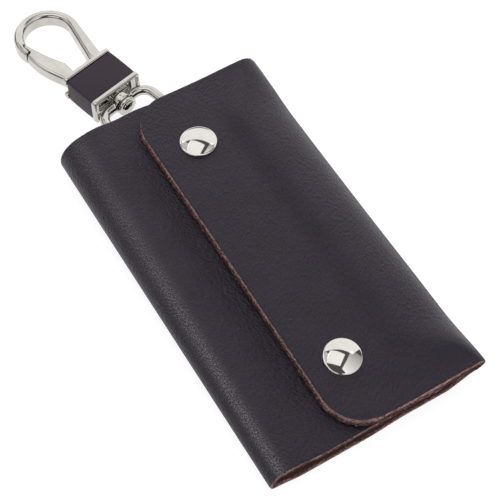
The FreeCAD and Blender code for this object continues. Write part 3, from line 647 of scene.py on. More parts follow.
@dataclass(frozen=True)
class FlapLie:
    """How the flap has come to lie: swollen at its fold, curled up at the low end and crowned between.

    Each further swell is reached over a stretch of the length: its size, the stretch's start and its reach.
    """

    swell: float = 0.48 * MM
    swells: tuple[tuple[float, float, float], ...] = ((0.95 * MM, 0.02, 0.15), (0.78 * MM, 0.25, 0.25),
                                                      (0.88 * MM, 0.65, 0.20), (0.50 * MM, 0.86, 0.14))
    swell_start: float = 20 * MM
    swell_reach: float = 10 * MM
    curl: Hump = Hump(0.6 * MM, -1 * MM, 6 * MM)
    curl_share: float = 0.12
    crown: float = 1.2 * MM
    crown_start: float = 24 * MM
    crown_reach: float = 19 * MM

    def shift(self, across: float, share: float, upper: float) -> Vector:
        """Way that a point has moved from the even sheet.

        Args:
            across: Place on X.
            share: Share of the case's length from the low end.
            upper: Share of the way from the fold's middle to the top layer.

        Returns:
            The way.
        """
        swell = self.swell
        for size, start, reach in self.swells:
            swell = mix(swell, size, ease((share - start) / reach))
        outer = ease((across - self.swell_start) / self.swell_reach)
        crown = self.crown * 4 * share * (1 - share) * ease((self.crown_start - across) / self.crown_reach)
        rise = near_low_end(share, self.curl_share) * self.curl.at(across) + crown
        return Vector((outer * swell, 0, upper * rise))


@dataclass(frozen=True)
class Mouth:
    """How the back's cut end is drawn in at the low end, towards its two sides."""

    share: float = 0.28
    panel_draw: float = 0.5 * MM
    panel_start: float = -22 * MM
    panel_reach: float = 8 * MM
    flap_draw: float = 0.45 * MM
    flap_start: float = -5 * MM
    flap_reach: float = 15 * MM

    def inward(self, point: Vector) -> float:
        """How far a point's end is drawn in."""
        return (self.panel_draw * ease((self.panel_start - point.x) / self.panel_reach)
                + self.flap_draw * ease((point.x - self.flap_start) / self.flap_reach))


@dataclass(frozen=True)
class SheetHalf:
    """Half of the folded sheet, from the middle of the back over its fold to its free edge.

    Heights are given at the low end and at the hook end.  Places across the case count from its middle
    towards this half's fold, and runs along the section count from the middle of the back.  A half with a
    shoulder has its radius at the low end, the middle and the hook end, with a facet before it.
    """

    side: Side
    width: float
    length: float
    fold: tuple[float, float]
    lift: float
    level: tuple[float, float]
    level_start: float
    edge: float
    corner: float
    flat: float
    lie: PanelLie | FlapLie
    flesh_lean: float
    mouth: Mouth = Mouth()
    wave: float = 0.18 * MM
    wave_rates: tuple[float, float, float] = (45, 38, 3.7)
    shoulder: tuple[float, ...] = ()
    shoulder_turn: float = math.radians(48)
    shoulder_share: float = 0.17
    hook_share: float = 0.18
    facet: float = 0.0
    facet_share: float = 0.08
    facet_split: tuple[float, float] = (0.40, 0.46)
    # Pale mark on the fold's shoulder, partly rubbed wear and partly a painted highlight; only the panel's
    # fold has it.
    shoulder_wear_and_highlight: float = 0.0
    wear_and_highlight_share: float = 0.96
    wear_and_highlight_breadth: tuple[float, float] = (1.7 * MM, 2.8 * MM)
    wear_and_highlight_fade: float = 0.35
    hinge_angle: float = math.radians(45)
    probe: float = 0.02 * MM

    def share(self, along: float) -> float:
        """Share of the case's length from the low end."""
        return along / self.length + 0.5

    def radius(self, along: float) -> float:
        """Outer radius of the fold."""
        return mix(*self.fold, self.share(along)) / 2

    @property
    def back(self) -> float:
        """Run at which the fold starts."""
        return self.width / 2 - self.radius(0)

    @property
    def bend(self) -> float:
        """Run of the fold."""
        return math.pi * self.radius(0)

    @property
    def dip(self) -> float:
        """Run from the fold to the level part."""
        return self.back - self.level_start

    @property
    def end(self) -> float:
        """Run at which the free edge lies."""
        return self.run_at(self.edge)

    def run_at(self, across: float) -> float:
        """Run of a place on the level part."""
        return self.back + self.bend + self.dip + self.level_start - across

    @property
    def split(self) -> tuple[float, float]:
        """Shares of the fold's run at which its tight part ends and its shoulder starts."""
        plain = 1 - self.shoulder_turn / math.pi
        return self.facet_split if self.shoulder else (plain, plain)

    def run_of_turn(self, angle: float) -> float:
        """Run of an angle of the fold.

        Args:
            angle: Angle of the fold, counted up from the table.

        Returns:
            The run.
        """
        tight, start = self.split
        limit = math.pi - self.shoulder_turn
        if angle <= limit:
            return self.back + self.bend * tight * angle / limit
        return self.back + self.bend * mix(start, 1.0, (angle - limit) / self.shoulder_turn)

    def outline(self, run: float, along: float) -> tuple[float, float]:
        """Place across and height of the grain face.

        Args:
            run: Run along the section.
            along: Place along the case.

        Returns:
            Place across the case and height above the table.
        """
        share = self.share(along)
        lift = self.lift * (1 - share)
        cosine, sine = math.cos(self.shoulder_turn), math.sin(self.shoulder_turn)
        near_hook = near_hook_end(share, self.hook_share)
        broad = self.radius(along)
        if self.shoulder:
            low, middle, hook = self.shoulder
            broad = mix(mix(low, middle, ease(share / self.shoulder_share)), hook, near_hook)
        radius = (2 * self.radius(along) - broad * (1 - cosine)) / (1 + cosine)
        facet = self.facet * ease(share / self.facet_share) * (1 - near_hook)
        top = lift + 2 * self.radius(along) + facet * sine
        turn = self.width / 2 - radius
        crest = turn - (broad - radius) * sine - facet * cosine
        if run <= self.flat:
            return run, 0.0
        if run <= self.back:
            part = (run - self.flat) / (self.back - self.flat)
            return mix(self.flat, turn, part), lift * ease(part)
        if run <= self.back + self.bend:
            part = (run - self.back) / self.bend
            tight, start = self.split
            limit = math.pi - self.shoulder_turn
            if part <= tight:
                angle = limit * part / tight
                return turn + radius * math.sin(angle), lift + radius * (1 - math.cos(angle))
            angle = mix(limit, math.pi, max(0.0, (part - start) / (1 - start)))
            short = facet * (start - part) / (start - tight) if part < start else 0.0
            return (crest + broad * math.sin(angle) + short * cosine,
                    top - broad * (1 + math.cos(angle)) - short * sine)
        level = mix(*self.level, share)
        part = (run - self.back - self.bend) / self.dip
        if part <= 1:
            return mix(crest, self.level_start, part), mix(top, level, ease(part))
        return self.level_start - (part - 1) * self.dip, level

    def place(self, run: float, along: float, depth: float) -> Vector:
        """Point of the sheet in the case's frame.

        Args:
            run: Run along the section.
            along: Place along the case.
            depth: Depth below the grain face.

        Returns:
            The point.
        """
        across, height = self.outline(run, along)
        back_across, back_height = self.outline(run - self.probe, along)
        next_across, next_height = self.outline(run + self.probe, along)
        normal = Vector((next_height - back_height, -(next_across - back_across))).normalized()
        across -= normal.x * depth
        height -= normal.y * depth
        return self.settle(Vector((self.side * across, along, height)), run)

    def settle(self, point: Vector, run: float) -> Vector:
        """Point of the sheet as it has come to lie.

        Args:
            point: Point of the even sheet.
            run: Its run along the section.

        Returns:
            The settled point.
        """
        share = self.share(point.y)
        upper = ease((run - self.back - self.bend / 2) / (self.bend / 2))
        below = 1 - ease((run - self.back) / (self.bend / 2))
        run_rate, along_rate, side_rate = self.wave_rates
        wave = noise.noise(Vector((run * run_rate, point.y * along_rate, self.side * side_rate)))
        inward = self.mouth.inward(point) * near_low_end(share, self.mouth.share)
        return (point + self.lie.shift(point.x, share, upper)
                + Vector((0, inward * below, self.wave * wave * upper)))

    def wear_and_highlight(self, run: float, along: float) -> float:
        """Share of the pale mark on the fold's shoulder, which is partly rubbed wear and partly a painted
        highlight.

        Args:
            run: Run along the section.
            along: Place along the case.

        Returns:
            The share.
        """
        share = ease(self.share(along))
        ridge = Hump(self.shoulder_wear_and_highlight, self.back + self.bend * self.wear_and_highlight_share, mix(*self.wear_and_highlight_breadth, share))
        return ridge.at(run) * mix(1.0, self.wear_and_highlight_fade, share)

    def hinge(self, angle: float) -> tuple[Vector, Vector]:
        """Middle of a hinge line of the fold, and the way across it.

        Args:
            angle: Angle of the fold, counted up from the table.

        Returns:
            The point on the grain face, and the unit vector along the section.
        """
        run = self.run_of_turn(angle)
        along = self.place(run, self.length / 4, 0) - self.place(run, -self.length / 4, 0)
        along.normalize()
        across = Vector((self.side * math.cos(angle), 0, math.sin(angle)))
        across -= along * across.dot(along)
        return self.place(run, 0, 0), across.normalized()


@dataclass(frozen=True)
class CutEdge:
    """Raw cut of the leather: how it leans out and how its fibres stand.

    Each pair of the fibres' layers is a height and a rate per millimetre.
    """

    slant: float = 0.75 * MM
    back_lean: float = 0.45
    straight_start_share: float = 0.91
    straight_share: float = 0.08
    fuzz: float = 0.26 * MM
    squeeze: float = 1.5
    waves: tuple[float, float] = (0.35, 0.5)
    fibres: tuple[float, float] = (0.9, 2.3)
    tufts: tuple[float, float] = (4.0, 1.7)
    tuft_start: float = 0.30
    tuft_seed: tuple[float, float, float] = (7, 3, 1)
    top_share: float = 0.15
    top_rate: float = 5.0

    def rough(self, point: Vector, depth: float) -> float:
        """How far the fibres stand out.

        Args:
            point: Point of the blank.
            depth: Share of the thickness below the grain face.

        Returns:
            The distance out from the cut.
        """
        spot = Vector((point.x, point.y, point.z * self.squeeze)) / MM
        rough = sum(height * noise.noise(spot * rate) for height, rate in (self.waves, self.fibres))
        tuft = noise.noise(spot * self.tufts[1] + Vector(self.tuft_seed)) - self.tuft_start
        rough += self.tufts[0] * max(0.0, tuft)
        return self.fuzz * rough * mix(self.top_share, 1.0, depth) * ease(depth * self.top_rate)

    def lean(self, half: SheetHalf, point: Vector, depth: float) -> float:
        """How far the cut stands out: towards the flesh side above, towards the grain side below.

        Args:
            half: Half of the sheet.
            point: Point of the blank.
            depth: Share of the thickness below the grain face.

        Returns:
            The distance out from the border.
        """
        upper = ease((point.x - half.back) / half.bend)
        away = 1 - ease((half.share(point.y) - self.straight_start_share) / self.straight_share)
        over = half.flesh_lean * depth
        return self.slant * away * (upper * over + self.back_lean * (1 - upper) * (1 - depth))


@dataclass
class LeatherPiece:
    """One piece of the sheet: a stretch of runs between two bodies."""

    name: str
    half: SheetHalf
    start: float
    end: float
    bodies: tuple[str, str]
    hinge_angle: float
    nodes: tuple[str, ...]
    holes: tuple[Hole, ...] = ()
    cut: CutEdge = CutEdge()
    thickness: float = 1.7 * MM
    blend_reach: float = 1.1 * MM
    wall_cuts: int = 6
    way_step: float = 0.2 * MM
    way_spare: float = 2 * MM
    back_step: float = 0.5 * MM
    fold_step: float = 0.26 * MM
    dip_step: float = 0.45 * MM
    level_step: float = 0.53 * MM
    along_step: float = 0.31 * MM
    border: tuple[float, ...] = (0.08 * MM, 0.2 * MM, 0.45 * MM)
    border_gap: float = 0.3 * MM
    border_round: float = 0.3 * MM
    border_drop: float = 0.16 * MM
    hole_border: float = 0.5 * MM
    near: float = 0.01 * MM

    def runs(self) -> list[float]:
        """Runs of the grid's lines, close together in the fold and at the free edge.

        Returns:
            The runs, in order.
        """
        half = self.half
        fold_end = half.back + half.bend
        stretches = [(half.flat, self.back_step), (half.back, self.back_step), (fold_end, self.fold_step),
                     (fold_end + half.dip, self.dip_step), (half.end, self.level_step)]
        values = []
        place = self.start
        for stop, step in stretches:
            stop = min(stop, self.end)
            if stop > place:
                values += spaced(place, stop, step)
                place = stop
        if self.free_edge:
            values += [self.end - inset for inset in self.border]
        return sorted(values) + [self.end]

    @property
    def free_edge(self) -> bool:
        """Whether the piece ends at the sheet's free edge."""
        return abs(self.end - self.half.end) < self.near

    def alongs(self) -> list[float]:
        """Places along the case of the grid's lines, close together at the two ends.

        Returns:
            The places, in order.
        """
        limit = self.half.length / 2
        border = [limit - inset for inset in self.border]
        inner = border[-1] - self.border_gap
        values = spaced(-inner, inner, self.along_step)
        return sorted(values + border + [-place for place in border] + [limit, -limit])

    def rounded(self, point: Vector) -> Vector:
        """Point of the blank, drawn in at the rounded corners of the free edge.

        Args:
            point: Point of the square blank.

        Returns:
            The point.
        """
        corner = self.half.corner
        inner = self.half.end - corner
        reach = (point.x - inner) / corner
        out = (abs(point.y) - self.half.length / 2 + corner) / corner
        if reach <= 0 or out <= 0:
            return point
        run = inner + corner * reach * math.sqrt(1 - out * out / 2)
        along = self.half.length / 2 - corner + corner * out * math.sqrt(1 - reach * reach / 2)
        return Vector((run, math.copysign(along, point.y), point.z))

    def blank(self) -> Mesh:
        """Flat blank of the piece: runs on X, places along the case on Y, grain side up.

        Returns:
            A closed mesh whose faces have their leather slots.
        """
        mesh = bmesh.new()
        runs = self.runs()
        alongs = self.alongs()
        bmesh.ops.create_grid(mesh, x_segments=len(runs) - 1, y_segments=len(alongs) - 1, size=0.5)
        for vert in mesh.verts:
            column = round((vert.co.x + 0.5) * (len(runs) - 1))
            row = round((vert.co.y + 0.5) * (len(alongs) - 1))
            vert.co = self.rounded(Vector((runs[column], alongs[row], 0)))
        for hole in self.holes:
            hole.punch(mesh)
        thicken(mesh, self.thickness, self.wall_cuts)
        return mesh

    def is_border(self, face: bmesh.types.BMFace) -> bool:
        """Whether a face is cut leather at the sheet's border, not at a seam or in a hole.

        Args:
            face: Face of the blank.

        Returns:
            Whether it is.
        """
        centre = face.calc_center_median()
        at_start = centre.x < self.start + self.near
        at_seam = at_start or (not self.free_edge and centre.x > self.end - self.near)
        in_hole = any((centre.xy - Vector((hole.run, hole.along))).length < hole.radius + self.hole_border
                      for hole in self.holes)
        return face.material_index == Leather.CUT and not at_seam and not in_hole

    def rough_edges(self, mesh: Mesh) -> None:
        """Lean the cut edges outwards and rough up their fibres.

        Args:
            mesh: The blank.
        """
        outward = {}
        for face in filter(self.is_border, mesh.faces):
            for vert in face.verts:
                outward[vert] = outward.get(vert, Vector()) + face.normal
        for vert, way in outward.items():
            depth = -vert.co.z / self.thickness
            reach = self.cut.lean(self.half, vert.co, depth) + self.cut.rough(vert.co, depth)
            vert.co += way.normalized() * reach

    def soften_border(self, mesh: Mesh) -> None:
        """Round the grain face over at its cut borders.

        Args:
            mesh: The blank.
        """
        for vert in mesh.verts:
            if abs(vert.co.z) > self.near:
                continue
            inset = self.half.length / 2 - abs(vert.co.y)
            if self.free_edge:
                inset = min(inset, self.half.end - vert.co.x)
            vert.co.z -= self.border_drop * (1 - min(inset / self.border_round, 1.0)) ** 2

    def ways(self) -> list[float]:
        """Lengths of leather from the piece's start, at even steps of its runs.

        Returns:
            The lengths, in order.
        """
        ways = [0.0]
        count = math.ceil((self.end + self.way_spare - self.start) / self.way_step)
        for index in range(count):
            run = self.start + index * self.way_step
            here, there = self.half.outline(run, 0.0), self.half.outline(run + self.way_step, 0.0)
            ways.append(ways[-1] + math.dist(here, there))
        return ways

    def build(self) -> Object:
        """Make the piece.

        The attribute sheet holds places on the flat leather, a metre to either side for the two halves, so
        that their patterns differ.

        Returns:
            The finished object.
        """
        mesh = self.blank()
        self.soften_border(mesh)
        self.rough_edges(mesh)
        sheet = mesh.verts.layers.float_vector.new("sheet")
        wear_and_highlight = mesh.verts.layers.float.new("wear_and_highlight")
        ways = self.ways()
        for vert in mesh.verts:
            # Share of the pale shoulder mark, partly wear and partly a painted highlight.
            vert[wear_and_highlight] = self.half.wear_and_highlight(vert.co.x, vert.co.y)
            place = min(max((vert.co.x - self.start) / self.way_step, 0.0), len(ways) - 2.0)
            way = mix(ways[int(place)], ways[int(place) + 1], place - int(place))
            vert[sheet] = (way, vert.co.y + self.half.side, vert.co.z)
            vert.co = self.half.place(vert.co.x, vert.co.y, -vert.co.z)
        bmesh.ops.recalc_face_normals(mesh, faces=mesh.faces[:])
        piece = as_object(self.name, mesh, SHEET_LEATHER)
        hinge, across = self.half.hinge(self.hinge_angle)
        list(self.bodies)
        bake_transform(piece)
        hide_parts(*self.nodes)
        return piece


@dataclass
class FoldedCase:
    """The folded leather: back, two folds, front panel and flap."""

    width: float = 64 * MM
    thickness: float = 1.7 * MM
    flap_gap: float = 0.5 * MM
    panel_level: tuple[float, float] = (5.5 * MM, 11.3 * MM)
    seam_across: float = 7.0 * MM
    seam_angle: float = math.radians(72)
    rivet_cap: float = 3.0 * MM

    def halves(self) -> tuple[SheetHalf, SheetHalf]:
        """The two halves of the sheet.

        Returns:
            The flap's half and the front panel's half.
        """
        low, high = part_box("back_panel")
        length = high.y - low.y
        rise = self.flap_gap + self.thickness
        flap = SheetHalf(Side.FLAP, self.width, length, fold=(4.9 * MM, 14.0 * MM), lift=3.3 * MM,
                         level=(self.panel_level[0] + rise, self.panel_level[1] + rise),
                         level_start=10.0 * MM, edge=-9.85 * MM, corner=11.0 * MM, flat=20.5 * MM,
                         lie=FlapLie(), flesh_lean=1.0,
                         shoulder=(2.6 * MM, 16.0 * MM, 4.5 * MM), facet=2.0 * MM)
        # The panel's fold shoulder gets the pale mark, partly rubbed wear and partly a painted highlight.
        panel = SheetHalf(Side.PANEL, self.width, length, fold=(6.5 * MM, 12.4 * MM), lift=0.0,
                          level=self.panel_level, level_start=13.4 * MM, edge=-7.0 * MM, corner=2.5 * MM,
                          flat=20.0 * MM, lie=PanelLie(), flesh_lean=0.12, shoulder_wear_and_highlight=1.0)
        return flap, panel

    def build(self) -> list[Object]:
        """Make the leather pieces and the caps on the flap.

        Returns:
            The finished objects.
        """
        flap, panel = self.halves()
        lower, upper = flap.hinge_angle, math.pi - flap.hinge_angle
        flap_seam, panel_seam = flap.run_of_turn(self.seam_angle), panel.run_of_turn(self.seam_angle)
        low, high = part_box("plate_rivets")
        rivet = Hole(high.x - self.rivet_cap, (low.y + high.y) / 2, self.rivet_cap)
        low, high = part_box("anchor_rivet")
        anchor = Hole(0.0, (low.y + high.y) / 2, self.rivet_cap)
        sockets = []
        for snap in ("upper", "lower"):
            low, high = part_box(f"{snap}_snap_socket")
            middle = (low + high) / 2
            sockets.append(Hole(flap.run_at(middle.x), middle.y, (high.x - low.x) / 2))
        pieces = [
            LeatherPiece("back_leather_flap_side", flap, -self.seam_across, flap_seam,
                         ("case_back", "flap_fold"), lower, ("back_panel",), (rivet, anchor)),
            LeatherPiece("back_leather_panel_side", panel, self.seam_across, panel_seam,
                         ("case_back", "panel_fold"), lower, ("back_panel",), (rivet,)),
            LeatherPiece("panel_leather", panel, panel_seam, panel.end,
                         ("panel_fold", "front_panel"), upper, ("panel_fold", "front_panel")),
            LeatherPiece("flap_leather", flap, flap_seam, flap.end,
                         ("flap_fold", "flap"), upper, ("flap_fold", "flap"), tuple(sockets)),
            SnapCap("upper", flap, tilt=math.radians(-3.0), fit=0.965),
            SnapCap("lower", flap, tilt=math.radians(2.0), fit=0.945),
        ]
        return [piece.build() for piece in pieces]


@dataclass
class SnapCap:
    """Domed cap of a snap, with a rolled rim, seated on the flap."""

    snap: str
    half: SheetHalf
    tilt: float
    fit: float
    rim: float = 0.5 * MM
    dome: float = 1.38 * MM
    roll: float = 0.28 * MM
    sink: float = 0.5 * MM
    seat_reach: float = 4 * MM
    dome_steps: int = 22
    roll_steps: int = 6
    turn_steps: int = 96
    merge: float = 0.001 * MM

    def seat(self, middle: Vector) -> Matrix:
        """Place of the cap on the settled flap.

        Args:
            middle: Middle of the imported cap.

        Returns:
            The pose, with Z out of the leather.
        """
        place, reach = self.half.place, self.seat_reach
        run = self.half.run_at(middle.x)
        across = place(run - reach, middle.y, 0) - place(run + reach, middle.y, 0)
        along = place(run, middle.y + reach, 0) - place(run, middle.y - reach, 0)
        out = across.cross(along).normalized()
        across.normalize()
        pose = Matrix((across, out.cross(across), out)).transposed().to_4x4()
        pose.translation = place(run, middle.y, 0)
        return pose @ Matrix.Rotation(self.tilt, 4, "X")

    def profile(self, mesh: Mesh, radius: float) -> None:
        """Draw half of the cap's section in the XZ plane, from the crown to the middle of the underside.

        Args:
            mesh: The empty mesh.
            radius: Radius of the cap.
        """
        inner = radius - self.roll
        top = self.rim + self.dome
        ball = (inner * inner + self.dome * self.dome) / (2 * self.dome)
        crown = mesh.verts.new((0, 0, top))
        bmesh.ops.spin(mesh, geom=[crown], cent=(0, 0, top - ball), axis=(0, 1, 0),
                       angle=math.asin(inner / ball), steps=self.dome_steps)
        edge = max(mesh.verts, key=lambda vert: vert.co.x)
        bmesh.ops.spin(mesh, geom=[edge], cent=(inner, 0, self.rim - self.roll), axis=(0, 1, 0),
                       angle=math.pi / 2, steps=self.roll_steps)
        for step in ((0, 0, self.roll - self.rim - self.sink), (-radius, 0, 0)):
            mesh.verts.ensure_lookup_table()
            grown = bmesh.ops.extrude_vert_indiv(mesh, verts=[mesh.verts[-1]])["verts"]
            bmesh.ops.translate(mesh, verts=grown, vec=step)

    def build(self) -> Object:
        """Make the cap.

        Returns:
            The finished object.
        """
        node = f"{self.snap}_snap_cap"
        low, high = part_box(node)
        mesh = bmesh.new()
        self.profile(mesh, (high.x - low.x) / 2 * self.fit)
        bmesh.ops.spin(mesh, geom=mesh.verts[:] + mesh.edges[:], cent=(0, 0, 0), axis=(0, 0, 1),
                       angle=math.tau, steps=self.turn_steps, use_merge=True)
        bmesh.ops.remove_doubles(mesh, verts=mesh.verts[:], dist=self.merge)
        bmesh.ops.recalc_face_normals(mesh, faces=mesh.faces[:])
        shade_smooth(mesh)
        bmesh.ops.transform(mesh, matrix=self.seat((low + high) / 2), verts=mesh.verts[:])
        return stand_in(as_object(f"{self.snap}_cap", mesh, (NICKEL,)), "flap", node)


def hook_pose() -> Matrix:
    """Pose of the hook's axes.

    Returns:
        The pose, with Y along the hook from the anchor rivet and Z up.
    """
    joints = {joint["name"]: joint for joint in frame["record"]["behaviour"]["joints"]}
    along = Vector(joints["hook_swivel"]["axis"])
    up = Vector((0, 0, 1))
    pose = Matrix((along.cross(up), along, up)).transposed().to_4x4()
    pose.translation = Vector(joints["anchor_swing"]["pos_m"])
    return pose


@dataclass
class CastPiece:
    """Casting of the hook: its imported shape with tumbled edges."""

    node: str
    body: str
    name: str
    voxel: float = 0.15 * MM
    passes: int = 10
    tumble: float = 0.5
    merge: float = 0.002 * MM

    def cast(self, mesh: Mesh) -> Mesh:
        """Cast a shape anew in even voxels.

        Args:
            mesh: The shape, which is freed.

        Returns:
            The casting's mesh.
        """
        rough = as_object(self.name + "_rough", mesh, ())
        remesh = rough.modifiers.new("cast", "REMESH")
        remesh.mode = "VOXEL"
        remesh.voxel_size = self.voxel
        bpy.context.view_layer.update()
        shape = rough.evaluated_get(bpy.context.evaluated_depsgraph_get())
        made = bmesh.new()
        made.from_mesh(shape.to_mesh())
        shape.to_mesh_clear()
        bpy.data.objects.remove(rough)
        return made

    def build(self) -> Object:
        """Make the casting, along the hook's own axes.

        Returns:
            The finished object.
        """
        pose = hook_pose()
        mesh = bmesh.new()
        mesh.from_mesh(frame["nodes"][self.node].data)
        bmesh.ops.remove_doubles(mesh, verts=mesh.verts[:], dist=self.merge)
        bmesh.ops.transform(mesh, matrix=pose.inverted(), verts=mesh.verts[:])
        mesh = self.cast(mesh)
        for _ in range(self.passes):
            bmesh.ops.smooth_vert(mesh, verts=mesh.verts[:], factor=self.tumble, use_axis_x=True,
                                  use_axis_y=True, use_axis_z=True)
        bmesh.ops.transform(mesh, matrix=pose, verts=mesh.verts[:])
        shade_smooth(mesh)
        return stand_in(as_object(self.name, mesh, (CAST_NICKEL,)), self.body, self.node)


@dataclass
class CollarSleeve:
    """Leather sleeve of the collar, drawn tight over the neck's corners."""

    width: float = 16.6 * MM
    height: float = 7.8 * MM
    low: float = 29.6 * MM
    high: float = 40.6 * MM
    leather: float = 1.0 * MM
    corner: float = 0.55 * MM
    corner_steps: int = 4
    end_round: float = 0.28 * MM
    end_steps: int = 3
    length_cuts: int = 16
    puff: float = 0.10 * MM
    puff_power: int = 4
    ripple: float = 0.05 * MM
    ripple_rate: float = 0.25
    along_limit: float = 0.9
    across_limit: float = 0.1

    @property
    def length(self) -> float:
        """Length of the sleeve along the hook."""
        return self.high - self.low

    def build(self) -> Object:
        """Make the sleeve.

        Returns:
            The finished object.
        """
        mesh = bmesh.new()
        bmesh.ops.create_cube(mesh, size=1.0)
        bmesh.ops.scale(mesh, vec=(self.width, self.length, self.height), verts=mesh.verts[:])
        bmesh.ops.bevel(mesh, geom=self.long_edges(mesh), offset=self.corner, segments=self.corner_steps,
                        profile=0.5, affect="EDGES", material=-1)
        ends = [face for face in mesh.faces if abs(face.normal.y) > self.along_limit]
        bmesh.ops.inset_region(mesh, faces=ends, thickness=self.leather, use_even_offset=True)
        bmesh.ops.delete(mesh, geom=ends, context="FACES")
        bmesh.ops.bridge_loops(mesh, edges=[edge for edge in mesh.edges if edge.is_boundary])
        brims = [edge for edge in mesh.edges if self.is_brim(edge)]
        bmesh.ops.bevel(mesh, geom=brims, offset=self.end_round, segments=self.end_steps,
                        profile=0.5, affect="EDGES", material=-1)
        bmesh.ops.subdivide_edges(mesh, edges=self.long_edges(mesh), cuts=self.length_cuts,
                                  use_grid_fill=True)
        self.swell(mesh)
        bmesh.ops.recalc_face_normals(mesh, faces=mesh.faces[:])
        shade_smooth(mesh)
        middle = Matrix.Translation((0, (self.low + self.high) / 2, 0))
        bmesh.ops.transform(mesh, matrix=hook_pose() @ middle, verts=mesh.verts[:])
        piece = as_object("sleeve_leather", mesh, (CollarLeather(),))
        return stand_in(piece, "belt_hook", "collar_sleeve")

    def long_edges(self, mesh: Mesh) -> list[bmesh.types.BMEdge]:
        """Edges that run along the sleeve."""
        return [edge for edge in mesh.edges
                if abs(edge.verts[0].co.y - edge.verts[1].co.y) > self.length / 2]

    def is_brim(self, edge: bmesh.types.BMEdge) -> bool:
        """Whether an edge goes round the outside of one of the sleeve's two ends.

        Args:
            edge: Edge of the square sleeve.

        Returns:
            Whether it does.
        """
        turns = sorted(abs(face.normal.y) for face in edge.link_faces)
        walls = [face for face in edge.link_faces if abs(face.normal.y) < self.across_limit]
        outside = any(face.normal.dot(face.calc_center_median()) > 0 for face in walls)
        return len(turns) == 2 and turns[0] < self.across_limit and turns[1] > self.along_limit and outside

    def swell(self, mesh: Mesh) -> None:
        """Puff the sleeve's faces a little between its ends.

        Args:
            mesh: The sleeve, around its own middle.
        """
        for vert in mesh.verts:
            share = min(1.0, abs(vert.co.y) / (self.length / 2))
            ripple = self.ripple * noise.noise(vert.co / MM * self.ripple_rate)
            grow = self.puff * (1 - share ** self.puff_power) + ripple
            if abs(vert.co.z) > self.height / 2 - self.leather / 2:
                vert.co.z += math.copysign(grow, vert.co.z)
            if abs(vert.co.x) > self.width / 2 - self.leather / 2:
                vert.co.x += math.copysign(grow, vert.co.x)


@dataclass
class AnchorTab:
    """Leather strap folded round the eye's bar and held by the anchor rivet.

    Its section is drawn as reach along the hook and height over the hook's axis.
    """

    bar_reach: float = 11.3 * MM
    wrap: float = 2.4 * MM
    leather: float = 1.1 * MM
    tail: float = 5.0 * MM
    merge: float = 3.6 * MM
    width: float = 11.2 * MM
    corner: float = 2.5 * MM
    hole: float = 1.4 * MM
    length_steps: int = 100
    width_steps: int = 24
    probe: float = 0.3 * MM

    @property
    def bar(self) -> Vector:
        """Middle of the eye's bar."""
        return Vector((self.bar_reach, 0))

    @property
    def crook(self) -> Vector:
        """Point at which the upper layer comes down on the lower one."""
        return Vector((self.merge, 2 * self.leather - self.wrap))

    @property
    def touch(self) -> float:
        """Angle of the bar at which the strap leaves it."""
        way = self.crook - self.bar
        return math.atan2(way.y, way.x) % math.tau - math.acos(self.wrap / way.length)

    def round_bar(self, angle: float) -> Vector:
        """Point of the wrap at an angle of the bar."""
        return self.bar + self.wrap * Vector((math.cos(angle), math.sin(angle)))

    def stages(self) -> tuple[float, float, float, float]:
        """Lengths of the strap's stages.

        Returns:
            The lengths of the lower layer, the wrap, the way down and the upper layer.
        """
        down = (self.round_bar(self.touch) - self.crook).length
        wrapped = self.wrap * (self.touch + math.pi / 2)
        return self.tail + self.bar_reach, wrapped, down, self.tail + self.merge

    def outer(self, run: float) -> Vector:
        """Point of the strap's outer face.

        Args:
            run: Length of strap from the end of the lower layer.

        Returns:
            The point of the section.
        """
        below, wrapped, down, _ = self.stages()
        if run <= below:
            return Vector((run - self.tail, -self.wrap))
        if run <= below + wrapped:
            return self.round_bar((run - below) / self.wrap - math.pi / 2)
        left = run - below - wrapped
        if left <= down:
            return self.round_bar(self.touch).lerp(self.crook, left / down)
        return self.crook - Vector((left - down, 0))

    def place(self, run: float, across: float, depth: float) -> Vector:
        """Point of the strap in the hook's axes.

        Args:
            run: Length of strap from the end of the lower layer.
            across: Place across the strap.
            depth: Depth below the outer face.

        Returns:
            The point.
        """
        way = (self.outer(run + self.probe) - self.outer(run - self.probe)).normalized()
        spot = self.outer(run) + Vector((-way.y, way.x)) * depth
        return Vector((across, spot.x, spot.y))

    def half_width(self, end: float) -> float:
        """Half of the strap's width at a distance from its nearer end, less at the rounded corners."""
        inset = self.corner - min(end, self.corner)
        return self.width / 2 - self.corner + math.sqrt(self.corner ** 2 - inset ** 2)

    def build(self) -> Object:
        """Make the strap.

        Returns:
            The finished object.
        """
        length = sum(self.stages())
        mesh = bmesh.new()
        bmesh.ops.create_grid(mesh, x_segments=self.length_steps, y_segments=self.width_steps, size=0.5)
        for vert in mesh.verts:
            run = (vert.co.x + 0.5) * length
            vert.co = (run, vert.co.y * 2 * self.half_width(min(run, length - run)), 0)
        for run in (self.tail, length - self.tail):
            Hole(run, 0.0, self.hole).punch(mesh)
        thicken(mesh, self.leather)
        sheet = mesh.verts.layers.float_vector.new("sheet")
        for vert in mesh.verts:
            vert[sheet] = vert.co
            vert.co = self.place(vert.co.x, vert.co.y, -vert.co.z)
        bmesh.ops.recalc_face_normals(mesh, faces=mesh.faces[:])
        bmesh.ops.transform(mesh, matrix=hook_pose(), verts=mesh.verts[:])
        piece = as_object("anchor_strap", mesh, SHEET_LEATHER)
        return stand_in(piece, "anchor_tab", "anchor_tab")


